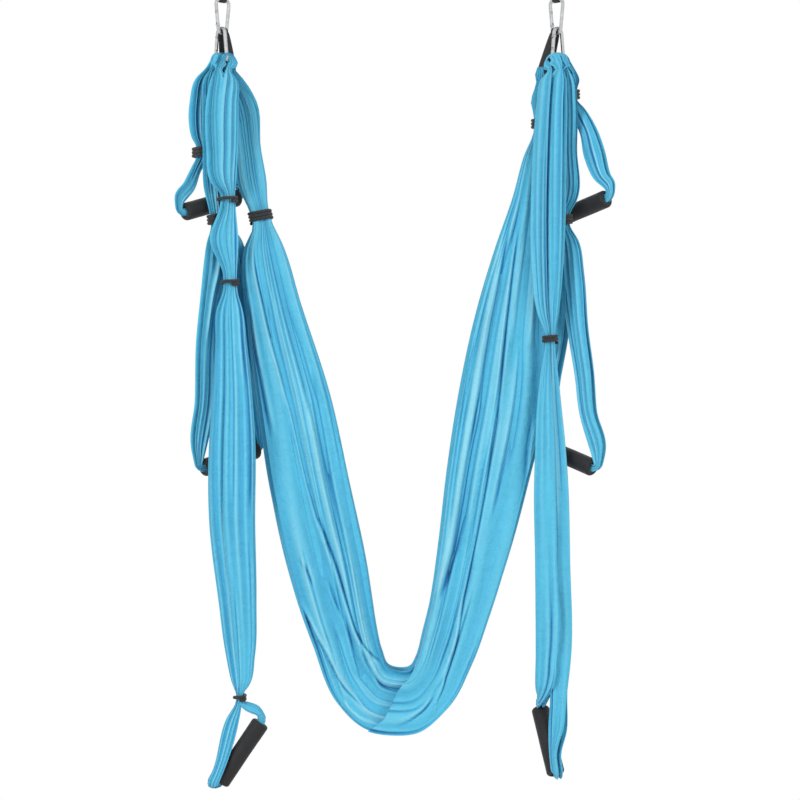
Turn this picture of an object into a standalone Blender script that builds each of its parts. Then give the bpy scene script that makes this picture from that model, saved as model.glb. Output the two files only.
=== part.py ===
"""Aerial hammock: a gathered cloth and three pairs of foam handles on two ceiling straps.

Metres, Z up, X to the right seen from the front. Height zero is the seat of the left strap on its hook.
On each side, lane places are measured from the lower carabiner's bottom wire: S runs to the back and
outward, T to the front and outward, and the handles swing toward T.
"""
import math
from collections import namedtuple

import bmesh
import bpy
from mathutils import Matrix, Vector
from mathutils.geometry import tessellate_polygon

# Main sizes
hook_spacing = 0.618
strap_length = 0.150
hammock_drop = 1.3586
hammock_depth = 0.100
short_drop = 0.266
medium_drop = 0.731
long_drop = 1.261
loop_reach = 0.100
seat_gap = 0.0003

# Ceiling strap: sewn webbing with an eye at each end
strap_width = 0.025
strap_thickness = 0.0025
strap_bight_width = 0.0135
strap_eye_width = 0.024
strap_eye_facet = 0.008
strap_eye_length = 0.050
strap_lower_eye = 0.016

# Carabiner: one bent wire with a sprung gate
wire_diameter = 0.007
carabiner_length = 0.070
carabiner_wide = 0.038
carabiner_narrow = 0.028
carabiner_corner = 0.0095
latch_distance = 0.021
pivot_distance = 0.047
tongue_thickness = 0.0030
tongue_radius = 0.0030
tongue_shoulder = 0.0040
cheek_reach = 0.0024
rivet_radius = 0.0011
rivet_head_radius = 0.0020
rivet_head_height = 0.0006
neck_width = 0.0024
neck_length = 0.0020
head_width = 0.0046
head_length = 0.0020
nose_depth = 0.0035
bore_radius = 0.0016
bore_length = 0.012
plunger_radius = 0.0014
plunger_length = 0.004
spring_radius = 0.0011
spring_wire = 0.0002
spring_length = 0.0066
spring_turns = 4

# Sling between the upper carabiner and an end of the hammock
sling_top_width = 0.0054
sling_top_thickness = 0.0050
sling_foot_width = 0.014
sling_foot_thickness = 0.003
sling_foot_radius = 0.009
sling_clearance = 0.0004
sling_side = 0.0035
sling_crown = 0.0093
link_side = 0.0031
link_height = 0.0097

# Handle loops over the lower carabiner's wire
lane_pitch = 0.0039
bight_width = 0.0035
bight_thickness = 0.008
bight_clearance = 0.0006
neck_spread = 0.0016
mouth_out = 0.0008
turn_out = 0.0095
turn_side = 0.0054
foot_half_width = 0.007
foot_half_depth = 0.010
neck_drop = 0.006
core_fill_gap = 0.0006

# Foam grip on a core tube
grip_length = 0.134
grip_radius = 0.0165
grip_fillet = 0.005
core_radius = 0.0105
core_wall = 0.002
core_setback = 0.001

# Binding cord
cord_half_thickness = 0.0022
cord_half_width = 0.0029
cord_pitch = 0.0066
cord_seat = 0.0003

# Counts
wire_sides = 8
arc_steps = 8
corner_steps = 4
grip_sides = 14
core_sides = 12
rivet_sides = 12
fold_count = 8
ring_points = 32
strand_points = 9
strand_folds = 3
cord_points = 12
cord_sides = 5
spring_points = 8
spring_sides = 4
leg_steps = 4
bight_steps = 4
end_rows = 4

# Shading: the largest angle in degrees between two faces that shade as one
smooth_angle = 50.0

# Hammock path: outer x, z and inner x, z by hook spacing and drop; depth place, half depth; turn
hammock_path_shares = (
    (-0.007, 0.072, 0.032, 0.072, 0.20, 0.075, -0.5),
    (-0.012, 0.075, 0.037, 0.075, 0.20, 0.099, -0.5),
    (-0.012, 0.094, 0.037, 0.094, 0.20, 0.100, -0.5),
    (-0.007, 0.109, 0.063, 0.108, 0.24, 0.130, -0.4),
    (0.010, 0.137, 0.096, 0.134, 0.30, 0.160, -0.2),
    (0.034, 0.205, 0.112, 0.199, 0.26, 0.170, 0.0),
    (0.046, 0.254, 0.130, 0.246, 0.20, 0.160, 0.0),
    (0.082, 0.291, 0.136, 0.283, 0.14, 0.110, 0.0),
    (0.090, 0.306, 0.144, 0.298, 0.13, 0.110, 0.0),
    (0.085, 0.341, 0.178, 0.331, 0.09, 0.180, 0.0),
    (0.094, 0.436, 0.235, 0.414, 0.04, 0.260, 0.0),
    (0.115, 0.559, 0.322, 0.537, 0.04, 0.320, 0.0),
    (0.145, 0.675, 0.379, 0.654, 0.04, 0.380, 0.0),
    (0.199, 0.783, 0.431, 0.764, 0.04, 0.440, 0.0),
    (0.268, 0.877, 0.463, 0.857, 0.04, 0.520, 0.0),
    (0.343, 0.958, 0.479, 0.887, 0.04, 0.600, 0.0),
    (0.423, 0.992, 0.496, 0.905, 0.04, 0.680, 0.0),
    (0.507, 0.999, 0.528, 0.910, 0.04, 0.720, 0.0),
    (0.588, 0.995, 0.558, 0.909, 0.04, 0.720, 0.0),
    (0.675, 0.962, 0.579, 0.895, 0.04, 0.660, 0.0),
    (0.744, 0.905, 0.599, 0.861, 0.04, 0.580, 0.0),
    (0.801, 0.835, 0.621, 0.818, 0.04, 0.500, 0.0),
    (0.858, 0.756, 0.645, 0.743, 0.04, 0.440, 0.0),
    (0.915, 0.661, 0.671, 0.641, 0.04, 0.380, 0.0),
    (0.966, 0.559, 0.708, 0.532, 0.06, 0.280, 0.0),
    (0.975, 0.450, 0.759, 0.425, 0.06, 0.220, 0.0),
    (0.975, 0.357, 0.816, 0.338, 0.06, 0.180, 0.0),
    (0.969, 0.280, 0.870, 0.267, 0.08, 0.160, 0.0),
    (0.969, 0.218, 0.903, 0.212, 0.10, 0.140, 0.0),
    (0.969, 0.179, 0.933, 0.177, 0.15, 0.100, 0.0),
    (0.969, 0.159, 0.933, 0.157, 0.16, 0.100, 0.0),
    (0.978, 0.138, 0.924, 0.135, 0.15, 0.130, 0.2),
    (0.984, 0.124, 0.933, 0.123, 0.14, 0.110, 0.4),
    (0.987, 0.114, 0.939, 0.114, 0.14, 0.100, 0.5),
    (0.987, 0.094, 0.939, 0.094, 0.14, 0.099, 0.5),
    (0.982, 0.091, 0.943, 0.091, 0.14, 0.075, 0.5),
)
hammock_left_band_rows = (7, 8)
hammock_right_band_rows = (29, 30)

# Handle rows: fall by the drop; lanes S and T, parting, half width, half depth by the reach; turn
left_short_shares = (
    (0.053, 0.150, 0.080, 0.110, 0.070, 0.070, 0.50),
    (0.122, 0.220, 0.120, 0.140, 0.125, 0.110, 0.50),
    (0.282, 0.240, 0.200, 0.155, 0.145, 0.155, 0.50),
    (0.421, 0.240, 0.220, 0.155, 0.145, 0.155, 0.50),
    (0.526, 0.240, 0.220, 0.120, 0.115, 0.130, 0.50),
    (0.571, 0.240, 0.220, 0.083, 0.078, 0.110, 0.50),
    (0.682, 0.240, 0.220, 0.083, 0.078, 0.110, 0.50),
    (0.745, 0.245, 0.150, 0.240, 0.110, 0.120, 0.50),
    (0.832, 0.255, 0.060, 0.480, 0.120, 0.130, 0.50),
)
left_medium_shares = (
    (0.019, 0.000, 0.080, 0.110, 0.070, 0.030, 0.50),
    (0.045, 0.000, 0.120, 0.140, 0.125, 0.055, 0.50),
    (0.103, -0.010, 0.160, 0.135, 0.130, 0.080, 0.50),
    (0.222, -0.030, 0.190, 0.125, 0.120, 0.085, 0.50),
    (0.323, -0.025, 0.200, 0.105, 0.100, 0.095, 0.50),
    (0.381, -0.060, 0.165, 0.078, 0.073, 0.065, 0.50),
    (0.414, -0.060, 0.135, 0.078, 0.073, 0.065, 0.50),
    (0.449, -0.050, 0.095, 0.135, 0.130, 0.105, 0.50),
    (0.513, -0.035, 0.040, 0.210, 0.180, 0.125, 0.50),
    (0.601, -0.035, 0.020, 0.340, 0.180, 0.125, 0.50),
    (0.715, -0.035, -0.030, 0.490, 0.180, 0.125, 0.50),
    (0.854, -0.038, -0.120, 0.630, 0.140, 0.125, 0.50),
)
left_long_shares = (
    (0.011, -0.150, 0.080, 0.110, 0.070, 0.070, 0.50),
    (0.026, -0.220, 0.110, 0.140, 0.125, 0.110, 0.50),
    (0.060, -0.310, 0.250, 0.155, 0.150, 0.160, 0.50),
    (0.129, -0.310, 0.260, 0.150, 0.145, 0.160, 0.50),
    (0.180, -0.315, 0.220, 0.110, 0.105, 0.140, 0.50),
    (0.192, -0.310, 0.135, 0.068, 0.063, 0.110, 0.50),
    (0.212, -0.315, 0.130, 0.068, 0.063, 0.110, 0.50),
    (0.261, -0.340, 0.240, 0.180, 0.170, 0.150, 0.33),
    (0.312, -0.370, 0.116, 0.062, 0.056, 0.100, 0.22),
    (0.335, -0.375, 0.120, 0.062, 0.056, 0.100, 0.22),
    (0.366, -0.400, 0.146, 0.125, 0.118, 0.120, 0.11),
    (0.413, -0.430, 0.137, 0.150, 0.142, 0.130, 0.00),
    (0.488, -0.490, 0.158, 0.188, 0.178, 0.140, 0.00),
    (0.563, -0.574, 0.240, 0.220, 0.210, 0.140, 0.00),
    (0.671, -0.560, 0.228, 0.218, 0.207, 0.140, 0.00),
    (0.789, -0.550, 0.087, 0.180, 0.170, 0.140, 0.00),
    (0.868, -0.500, -0.029, 0.138, 0.130, 0.130, 0.00),
    (0.912, -0.490, -0.047, 0.075, 0.070, 0.110, 0.00),
    (0.922, -0.480, -0.030, 0.039, 0.034, 0.080, 0.00),
    (0.935, -0.480, -0.030, 0.039, 0.034, 0.080, 0.00),
    (0.952, -0.480, -0.040, 0.185, 0.075, 0.100, 0.00),
)
right_short_shares = (
    (0.053, 0.150, 0.080, 0.110, 0.070, 0.070, 0.50),
    (0.115, 0.215, 0.060, 0.125, 0.115, 0.095, 0.50),
    (0.178, 0.245, 0.063, 0.081, 0.076, 0.075, 0.50),
    (0.268, 0.250, 0.065, 0.081, 0.076, 0.075, 0.50),
    (0.345, 0.270, 0.150, 0.125, 0.118, 0.110, 0.50),
    (0.477, 0.310, 0.220, 0.240, 0.160, 0.140, 0.50),
    (0.644, 0.360, 0.200, 0.380, 0.200, 0.160, 0.50),
    (0.804, 0.410, 0.180, 0.560, 0.150, 0.150, 0.50),
)
right_medium_shares = (
    (0.019, 0.000, 0.080, 0.110, 0.070, 0.030, 0.50),
    (0.045, 0.000, 0.110, 0.140, 0.120, 0.055, 0.50),
    (0.103, 0.000, 0.180, 0.125, 0.120, 0.075, 0.50),
    (0.222, 0.030, 0.190, 0.105, 0.100, 0.085, 0.50),
    (0.348, 0.060, 0.160, 0.105, 0.100, 0.095, 0.50),
    (0.381, 0.050, 0.077, 0.067, 0.062, 0.090, 0.50),
    (0.414, 0.050, 0.075, 0.067, 0.062, 0.090, 0.50),
    (0.457, 0.060, 0.080, 0.170, 0.155, 0.115, 0.50),
    (0.538, 0.090, 0.110, 0.210, 0.190, 0.130, 0.50),
    (0.680, 0.140, 0.140, 0.250, 0.200, 0.135, 0.50),
    (0.791, 0.140, 0.140, 0.395, 0.190, 0.140, 0.50),
    (0.882, 0.140, 0.120, 0.500, 0.160, 0.140, 0.50),
)
right_long_shares = (
    (0.011, -0.150, 0.080, 0.110, 0.070, 0.070, 0.50),
    (0.026, -0.220, 0.080, 0.140, 0.125, 0.110, 0.50),
    (0.060, -0.300, 0.110, 0.150, 0.145, 0.150, 0.50),
    (0.129, -0.340, 0.090, 0.170, 0.164, 0.155, 0.50),
    (0.209, -0.380, 0.090, 0.180, 0.173, 0.150, 0.50),
    (0.305, -0.420, 0.110, 0.150, 0.143, 0.140, 0.39),
    (0.371, -0.400, 0.120, 0.095, 0.090, 0.110, 0.28),
    (0.398, -0.380, 0.152, 0.049, 0.044, 0.085, 0.17),
    (0.416, -0.380, 0.152, 0.049, 0.044, 0.085, 0.17),
    (0.460, -0.380, 0.134, 0.085, 0.080, 0.110, 0.11),
    (0.507, -0.400, 0.145, 0.118, 0.112, 0.120, 0.00),
    (0.570, -0.420, 0.194, 0.147, 0.140, 0.130, 0.00),
    (0.620, -0.440, 0.228, 0.163, 0.155, 0.130, 0.00),
    (0.730, -0.420, 0.245, 0.166, 0.159, 0.130, 0.00),
    (0.862, -0.400, 0.250, 0.170, 0.160, 0.130, 0.00),
    (0.924, -0.390, 0.190, 0.180, 0.120, 0.130, 0.22),
    (0.953, -0.390, 0.140, 0.280, 0.105, 0.120, 0.50),
)

# Grip places: fall by the drop, S and T by the reach, turn and tilt by a right angle
left_short_grip_shares = (0.985, 0.258, 0.025, 0.50, -0.162)
left_medium_grip_shares = (1.003, -0.042, -0.184, 0.50, -0.153)
left_long_grip_shares = (1.009, -0.480, -0.052, 0.00, -0.622)
right_short_grip_shares = (1.019, 0.450, 0.160, 0.50, 0.169)
right_medium_grip_shares = (0.997, 0.140, 0.100, 0.50, -0.190)
right_long_grip_shares = (0.991, -0.405, 0.118, 0.784, -0.622)

# Sling foot places on each side: lanes S and T by the reach, height by the carabiner's length
left_sling_foot_shares = (0.085, -0.225, -0.069)
right_sling_foot_shares = (-0.064, -0.290, -0.413)

# Height between the two strands of a loop's last rows by the reach, the outer one lower
left_short_lean_shares = (0.14,)
left_long_lean_shares = (0.26,)
right_long_lean_shares = (0.10, 0.44)

# Strand places at a grip's ends by its length: outward past the end and up square to the axis
shallow_foot_shares = (((0.058, 0.150),), ((0.096, 0.130),))
steep_foot_shares = (((-0.104, 0.192), (0.042, 0.166)), ((0.209, 0.131),))

# Shares of form
hammock_fold_share = 0.11
strand_fold_share = 0.10
band_squareness = 4.0
hammock_band_squareness = 2.6
fold_drift = 0.35
strand_drift = 1.0
eye_shoulder_shares = ((0.75, 0.060), (1.00, 0.180), (1.00, 0.400), (0.62, 0.720))
lower_eye_shares = ((1.00, 0.25), (0.55, 0.62))

# Derived sizes
half_root = math.sqrt(0.5)
right_angle = math.pi / 2
wire_radius = wire_diameter / 2
wire_height = -(strap_length - seat_gap - wire_radius)
carabiner_reach = carabiner_length - wire_diameter
lower_height = wire_height - 2 * carabiner_reach + link_height
wide_half = carabiner_wide / 2 - wire_radius
narrow_radius = carabiner_narrow / 2 - wire_radius
corner_centre = wide_half - carabiner_corner
foam_bore = core_radius + seat_gap
core_bore = core_radius - core_wall
cloth_in_core = core_bore * math.cos(math.pi / core_sides) - core_fill_gap

Side = namedtuple("Side", "name sign x upper_turn lower_turn")
LEFT = Side("left", -1.0, 0.0, 45.0, 135.0)
RIGHT = Side("right", 1.0, hook_spacing, -45.0, 225.0)
least_gaps = []


def clear_scene():
    for item in list(bpy.data.objects):
        bpy.data.objects.remove(item, do_unlink=True)
    for item in list(bpy.data.meshes):
        bpy.data.meshes.remove(item)


def material(name, colour, roughness, metallic):
    made = bpy.data.materials.new(name)
    made.use_nodes = True
    shader = made.node_tree.nodes["Principled BSDF"]
    shader.inputs["Base Color"].default_value = (*colour, 1.0)
    shader.inputs["Roughness"].default_value = roughness
    shader.inputs["Metallic"].default_value = metallic
    return made


def finish_mesh(mesh):
    work = bmesh.new()
    work.from_mesh(mesh)
    bmesh.ops.recalc_face_normals(work, faces=work.faces)
    work.to_mesh(mesh)
    work.free()
    mesh.shade_smooth()
    mesh.set_sharp_from_angle(angle=math.radians(smooth_angle))


def solid(name, points, faces, finish):
    mesh = bpy.data.meshes.new(name)
    mesh.from_pydata([tuple(point) for point in points], [], faces)
    finish_mesh(mesh)
    made = bpy.data.objects.new(name, mesh)
    made.data.materials.append(finish)
    bpy.context.scene.collection.objects.link(made)
    return made


def place(item, location, rotation):
    item.location = location
    item.rotation_mode = "QUATERNION"
    item.rotation_quaternion = rotation
    bpy.context.view_layer.update()
    return item


def rings_to_faces(ring_total, count, closed):
    faces = []
    last = ring_total if closed else ring_total - 1
    for ring in range(last):
        after = (ring + 1) % ring_total
        for index in range(count):
            beside = (index + 1) % count
            faces.append((ring * count + index, ring * count + beside,
                          after * count + beside, after * count + index))
    return faces


def skinned(name, rings, finish, closed=False):
    """A skin over rings of equally many points, with a fan at each open end."""
    count = len(rings[0])
    points = [point for ring in rings for point in ring]
    faces = rings_to_faces(len(rings), count, closed)
    if not closed:
        for ring, start in ((rings[0], 0), (rings[-1], (len(rings) - 1) * count)):
            middle = sum((Vector(point) for point in ring), Vector()) / count
            points.append(middle)
            for index in range(count):
                faces.append((start + index, start + (index + 1) % count, len(points) - 1))
    return solid(name, points, faces, finish)


def cut(target, cutter, operation="DIFFERENCE"):
    modifier = target.modifiers.new(cutter.name, "BOOLEAN")
    modifier.operation = operation
    modifier.solver = "EXACT"
    modifier.object = cutter
    bpy.context.view_layer.update()
    made = bpy.data.meshes.new_from_object(target.evaluated_get(bpy.context.evaluated_depsgraph_get()))
    target.modifiers.clear()
    target.data = made
    bpy.data.objects.remove(cutter, do_unlink=True)
    finish_mesh(made)
    return target


def prism(name, outline, low, high, finish):
    """An outline drawn in X and Z and run along Y."""
    rings = [[Vector((x, level, z)) for x, z in outline] for level in (low, high)]
    return skinned(name, rings, finish)


def lane(side, along_s, along_t, height):
    """A world point from a side's lane places, measured from the lower carabiner's bottom wire."""
    across = along_t + link_side
    outward = (along_s + across) * half_root
    back = (along_s - across) * half_root
    return Vector((side.x + side.sign * outward, back, height))


def lane_direction(side, turn):
    """Level unit vectors along and across a loop that is turned from the picture plane."""
    angle = turn * right_angle
    along = Vector((side.sign * math.cos(angle), -math.sin(angle), 0.0))
    across = Vector((side.sign * math.sin(angle), math.cos(angle), 0.0))
    return along, across


def strap(side, finish):
    """A strip of webbing sewn to itself between two eyes; it narrows toward the carabiner."""
    half_eye = strap_eye_width / 2
    upper = [(strap_eye_facet / 2, 0.0)]
    upper += [(half_eye * wide, -strap_eye_length * down) for wide, down in eye_shoulder_shares]
    upper_hole = [(0.0 - x, z) for x, z in reversed(upper)] + upper + [(0.0, -strap_eye_length)]
    inner = wire_radius + seat_gap
    apex = wire_height + strap_lower_eye
    lower = [(inner * wide, wire_height + strap_lower_eye * up) for wide, up in reversed(lower_eye_shares)]
    foot = []
    for step in range(arc_steps + 1):
        angle = -math.pi * step / arc_steps
        foot.append((inner * math.cos(angle), wire_height + inner * math.sin(angle)))
    lower_hole = [(0.0, apex)] + lower + foot + [(0.0 - x, z) for x, z in reversed(lower)]
    wall = strap_thickness
    outer = [(strap_eye_facet / 2 + wall * half_root, wall)]
    outer += [(half_eye * wide + wall, -strap_eye_length * down + wall * (1 - wide))
              for wide, down in eye_shoulder_shares]
    outer += [(wall, -strap_eye_length - wall), (wall, apex)]
    outer += [(inner * wide + wall, wire_height + strap_lower_eye * up)
              for wide, up in reversed(lower_eye_shares)]
    for step in range(arc_steps // 2 + 1):
        angle = -math.pi * step / arc_steps
        reach = inner + wall
        outer.append((reach * math.cos(angle), wire_height + reach * math.sin(angle)))
    outline = outer + [(0.0 - x, z) for x, z in reversed(outer[:-1])]
    loops = [outline, upper_hole, lower_hole]
    flat = [[Vector((x, z, 0.0)) for x, z in loop] for loop in loops]
    triangles = tessellate_polygon(flat)
    low_level = apex
    high_level = -strap_eye_length
    plane = [point for loop in loops for point in loop]
    points = []
    for sense in (-1.0, 1.0):
        for x, z in plane:
            share = min(1.0, max(0.0, (z - low_level) / (high_level - low_level)))
            half = (strap_bight_width + (strap_width - strap_bight_width) * share) / 2
            points.append(lane(side, x, sense * half - link_side, z))
    count = len(plane)
    faces = [tuple(triangle) for triangle in triangles]
    faces += [tuple(index + count for index in triangle) for triangle in triangles]
    start = 0
    for loop in loops:
        for index in range(len(loop)):
            after = (index + 1) % len(loop)
            faces.append((start + index, start + after, start + after + count, start + index + count))
        start += len(loop)
    return solid(f"strap_{side.name}", points, faces, finish)


def limb_frame():
    """The free limb's straight: a point on it, its direction upward and its outward direction."""
    fall = carabiner_reach - narrow_radius - carabiner_corner
    distance = math.hypot(corner_centre, fall)
    tilt = math.atan2(-fall, -corner_centre) + math.acos((carabiner_corner - narrow_radius) / distance)
    outward = Vector((-math.cos(tilt), 0.0, math.sin(tilt)))
    upward = Vector((math.sin(tilt), 0.0, math.cos(tilt)))
    start = Vector((-corner_centre, 0.0, -carabiner_corner)) + outward * carabiner_corner
    return start, upward, outward, tilt


def limb_point(down):
    """The point of the free limb's centre line at a distance below the wide wire."""
    start, upward, _, _ = limb_frame()
    return start + upward * ((-down - start.z) / upward.z)


def wire_line():
    """The bent wire's centre line from the latch round the wide end and the narrow end to the pivot."""
    _, upward, _, tilt = limb_frame()
    points = [limb_point(latch_distance)]
    for step in range(corner_steps + 1):
        angle = math.pi - tilt + (right_angle - math.pi + tilt) * step / corner_steps
        points.append(Vector((-corner_centre + carabiner_corner * math.cos(angle), 0.0,
                              -carabiner_corner + carabiner_corner * math.sin(angle))))
    for step in range(corner_steps + 1):
        angle = right_angle + (tilt - right_angle) * step / corner_steps
        points.append(Vector((corner_centre + carabiner_corner * math.cos(angle), 0.0,
                              -carabiner_corner + carabiner_corner * math.sin(angle))))
    low = narrow_radius - carabiner_reach
    for step in range(arc_steps + 1):
        angle = tilt + (-math.pi - 2 * tilt) * step / arc_steps
        points.append(Vector((narrow_radius * math.cos(angle), 0.0, low + narrow_radius * math.sin(angle))))
    points.append(limb_point(pivot_distance) - upward * tongue_shoulder)
    return points


def wire_rings(points):
    """Eight-sided rings square to a line that lies in the plane of X and Z."""
    rings = []
    for index, point in enumerate(points):
        before = points[max(index - 1, 0)]
        after = points[min(index + 1, len(points) - 1)]
        ahead = (after - before).normalized()
        side = Vector((ahead.z, 0.0, -ahead.x))
        ring = []
        for corner in range(wire_sides):
            angle = 2 * math.pi * (corner + 0.5) / wire_sides
            ring.append(point + side * wire_radius * math.cos(angle)
                        + Vector((0.0, wire_radius * math.sin(angle), 0.0)))
        rings.append(ring)
    return rings


def on_limb(origin, along, outward, y):
    _, upward, away, _ = limb_frame()
    point = origin + upward * along + away * outward
    return Vector((point.x, y, point.z))


def round_plate(name, origin, radius, low, half, finish):
    """A plate with one round end about the origin, run down the limb to the low place."""
    outline = [on_limb(origin, low, -radius, 0.0), on_limb(origin, 0.0, -radius, 0.0)]
    for step in range(1, arc_steps):
        angle = -right_angle + math.pi * step / arc_steps
        outline.append(on_limb(origin, radius * math.cos(angle), radius * math.sin(angle), 0.0))
    outline += [on_limb(origin, 0.0, radius, 0.0), on_limb(origin, low, radius, 0.0)]
    return prism(name, [(point.x, point.z) for point in outline], -half, half, finish)


def limb_box(name, origin, along, outward, y, finish):
    """A box on the limb's own directions: three pairs of low and high places."""
    corners = [on_limb(origin, a, b, c) for a in along for b in outward for c in y]
    faces = [(0, 1, 3, 2), (4, 6, 7, 5), (0, 4, 5, 1), (2, 3, 7, 6), (0, 2, 6, 4), (1, 5, 7, 3)]
    return solid(name, corners, faces, finish)


def pin(name, origin, radius, low, high, finish):
    """A round pin that runs along Y through the origin."""
    rings = []
    for level in (low, high):
        rings.append([origin + Vector((radius * math.cos(2 * math.pi * step / rivet_sides), level,
                                       radius * math.sin(2 * math.pi * step / rivet_sides)))
                      for step in range(rivet_sides)])
    return skinned(name, rings, finish)


def carabiner_body(name, finish):
    body = skinned(name, wire_rings(wire_line()), finish)
    pivot = limb_point(pivot_distance)
    latch = limb_point(latch_distance)
    half = tongue_thickness / 2
    cut(body, round_plate("tongue", pivot, tongue_radius, -tongue_shoulder - tongue_radius / 2, half,
                          finish), "UNION")
    cut(body, pin("rivet hole", pivot, rivet_radius + seat_gap, -wire_radius, wire_radius, finish))
    depth = (-nose_depth / 2, nose_depth / 2)
    neck = neck_width / 2
    nose = limb_box("nose", latch, (-neck_length - head_length / 2, neck_length / 2), depth,
                    (-neck, neck), finish)
    cut(nose, limb_box("head", latch, (-neck_length - head_length, -neck_length), depth,
                       (-head_width / 2, head_width / 2), finish), "UNION")
    return cut(body, nose, "UNION")


def gate_body(name, finish):
    """The gate: a rod with a slot and bore for the tongue and spring, and a slot for the nose."""
    _, upward, _, _ = limb_frame()
    pivot = limb_point(pivot_distance)
    latch = limb_point(latch_distance)
    line = [pivot - upward * cheek_reach, pivot + upward * cheek_reach, latch - upward * seat_gap]
    gate = skinned(name, wire_rings(line), finish)
    wide = wire_diameter
    floor = tongue_radius + seat_gap + seat_gap
    slot = tongue_thickness / 2 + seat_gap
    cut(gate, limb_box("tongue slot", pivot, (-wide, floor), (-wide, wide), (-slot, slot), finish))
    cut(gate, pin("rivet hole", pivot, rivet_radius + seat_gap, -wide, wide, finish))
    rings = []
    for level in (0.0, floor + bore_length):
        rings.append([on_limb(pivot, level, bore_radius * math.cos(2 * math.pi * step / core_sides),
                              bore_radius * math.sin(2 * math.pi * step / core_sides))
                      for step in range(core_sides)])
    cut(gate, skinned("bore", rings, finish))
    neck = neck_width / 2 + seat_gap
    head = head_width / 2 + seat_gap
    cut(gate, limb_box("neck slot", latch, (-neck_length, wide), (-wide, wide), (-neck, neck), finish))
    deep = neck_length + head_length + seat_gap + seat_gap
    cut(gate, limb_box("head slot", latch, (-deep, seat_gap - neck_length), (-wide, wide),
                       (-head, head), finish))
    return gate


def rivet_body(name, finish):
    pivot = limb_point(pivot_distance)
    flat = wire_radius * math.cos(math.pi / wire_sides) + seat_gap
    rivet = pin(name, pivot, rivet_radius, -flat - rivet_head_height / 2, flat + rivet_head_height / 2,
                finish)
    cut(rivet, pin("head one", pivot, rivet_head_radius, flat, flat + rivet_head_height, finish), "UNION")
    cut(rivet, pin("head two", pivot, rivet_head_radius, -flat - rivet_head_height, -flat, finish),
        "UNION")
    return rivet


def plunger_body(name, finish):
    pivot = limb_point(pivot_distance)
    low = tongue_radius + seat_gap
    rings = []
    for level in (low, low + plunger_length):
        rings.append([on_limb(pivot, level, plunger_radius * math.cos(2 * math.pi * step / core_sides),
                              plunger_radius * math.sin(2 * math.pi * step / core_sides))
                      for step in range(core_sides)])
    return skinned(name, rings, finish)


def spring_body(name, finish):
    """A coil of square wire in the gate's bore, from the plunger toward the bore's end."""
    pivot = limb_point(pivot_distance)
    low = tongue_radius + seat_gap + plunger_length + seat_gap + spring_wire
    total = spring_turns * spring_points
    rings = []
    line = []
    for step in range(total + 1):
        angle = 2 * math.pi * step / spring_points
        level = low + spring_length * step / total
        line.append((angle, level))
        ring = []
        for corner in range(spring_sides):
            turn = 2 * math.pi * corner / spring_sides
            reach = spring_radius + spring_wire * math.cos(turn)
            ring.append(on_limb(pivot, level + spring_wire * math.sin(turn), reach * math.cos(angle),
                                reach * math.sin(angle)))
        rings.append(ring)
    least_gaps.append((name, spring_length / spring_turns - 2 * spring_wire))
    return skinned(name, rings, finish)


def carabiner(kind, side, finishes):
    """One carabiner, its gate, rivet, plunger and spring, set at the strap or upside down below."""
    if kind == "upper":
        turn = Matrix.Rotation(math.radians(side.upper_turn), 4, "Z")
        spot = Vector((side.x, 0.0, wire_height))
    else:
        turn = Matrix.Rotation(math.radians(side.lower_turn), 4, "Z") @ Matrix.Rotation(math.pi, 4, "Y")
        spot = lane(side, 0.0, 0.0, lower_height)
    rotation = turn.to_quaternion()
    body = place(carabiner_body(f"{kind}_carabiner_{side.name}", finishes["steel"]), spot, rotation)
    gate = gate_body(f"{kind}_gate_{side.name}", finishes["steel"])
    pivot = limb_point(pivot_distance)
    pieces = [rivet_body(f"{kind}_rivet_{side.name}", finishes["pin"])]
    riders = [plunger_body(f"{kind}_plunger_{side.name}", finishes["pin"]),
              spring_body(f"{kind}_spring_{side.name}", finishes["spring"])]
    for piece in [gate] + riders:
        piece.data.transform(Matrix.Translation(-pivot))
        place(piece, spot + turn @ pivot, rotation)
    for piece in riders:
        hold(piece, gate)
    place(pieces[0], spot, rotation)
    hold(pieces[0], body)
    hold(gate, body)
    return body


def hold(item, parent):
    """Parent a piece where it stands."""
    bpy.context.view_layer.update()
    item.parent = parent
    item.matrix_parent_inverse = parent.matrix_world.inverted()
    bpy.context.view_layer.update()


def sling_line(side):
    """The closed sling's centre line with its width and thickness: crown, legs and foot."""
    foot_s, foot_t, foot_z = left_sling_foot_shares if side is LEFT else right_sling_foot_shares
    upper_low = wire_height - carabiner_reach
    top_radius = wire_radius + seat_gap + sling_top_thickness / 2
    crown = Vector((0.0, -link_side - sling_side, upper_low + sling_crown - top_radius))
    foot = Vector((foot_s * loop_reach, foot_t * loop_reach,
                   lower_height + foot_z * carabiner_length + sling_foot_radius))
    line = []
    for step in range(arc_steps + 1):
        angle = math.pi * step / arc_steps
        line.append((crown + Vector((math.cos(angle), 0.0, math.sin(angle))) * top_radius, 0.0, angle))
    for step in range(1, leg_steps):
        share = step / leg_steps
        start = crown - Vector((top_radius, 0.0, 0.0))
        end = foot - Vector((sling_foot_radius, 0.0, 0.0))
        line.append((start.lerp(end, share), share, math.pi))
    for step in range(arc_steps + 1):
        angle = math.pi + math.pi * step / arc_steps
        spot = foot + Vector((math.cos(angle), 0.0, math.sin(angle))) * sling_foot_radius
        line.append((spot, 1.0, angle))
    for step in range(1, leg_steps):
        share = step / leg_steps
        start = foot + Vector((sling_foot_radius, 0.0, 0.0))
        end = crown + Vector((top_radius, 0.0, 0.0))
        line.append((start.lerp(end, share), 1 - share, 2 * math.pi))
    return line


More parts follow.
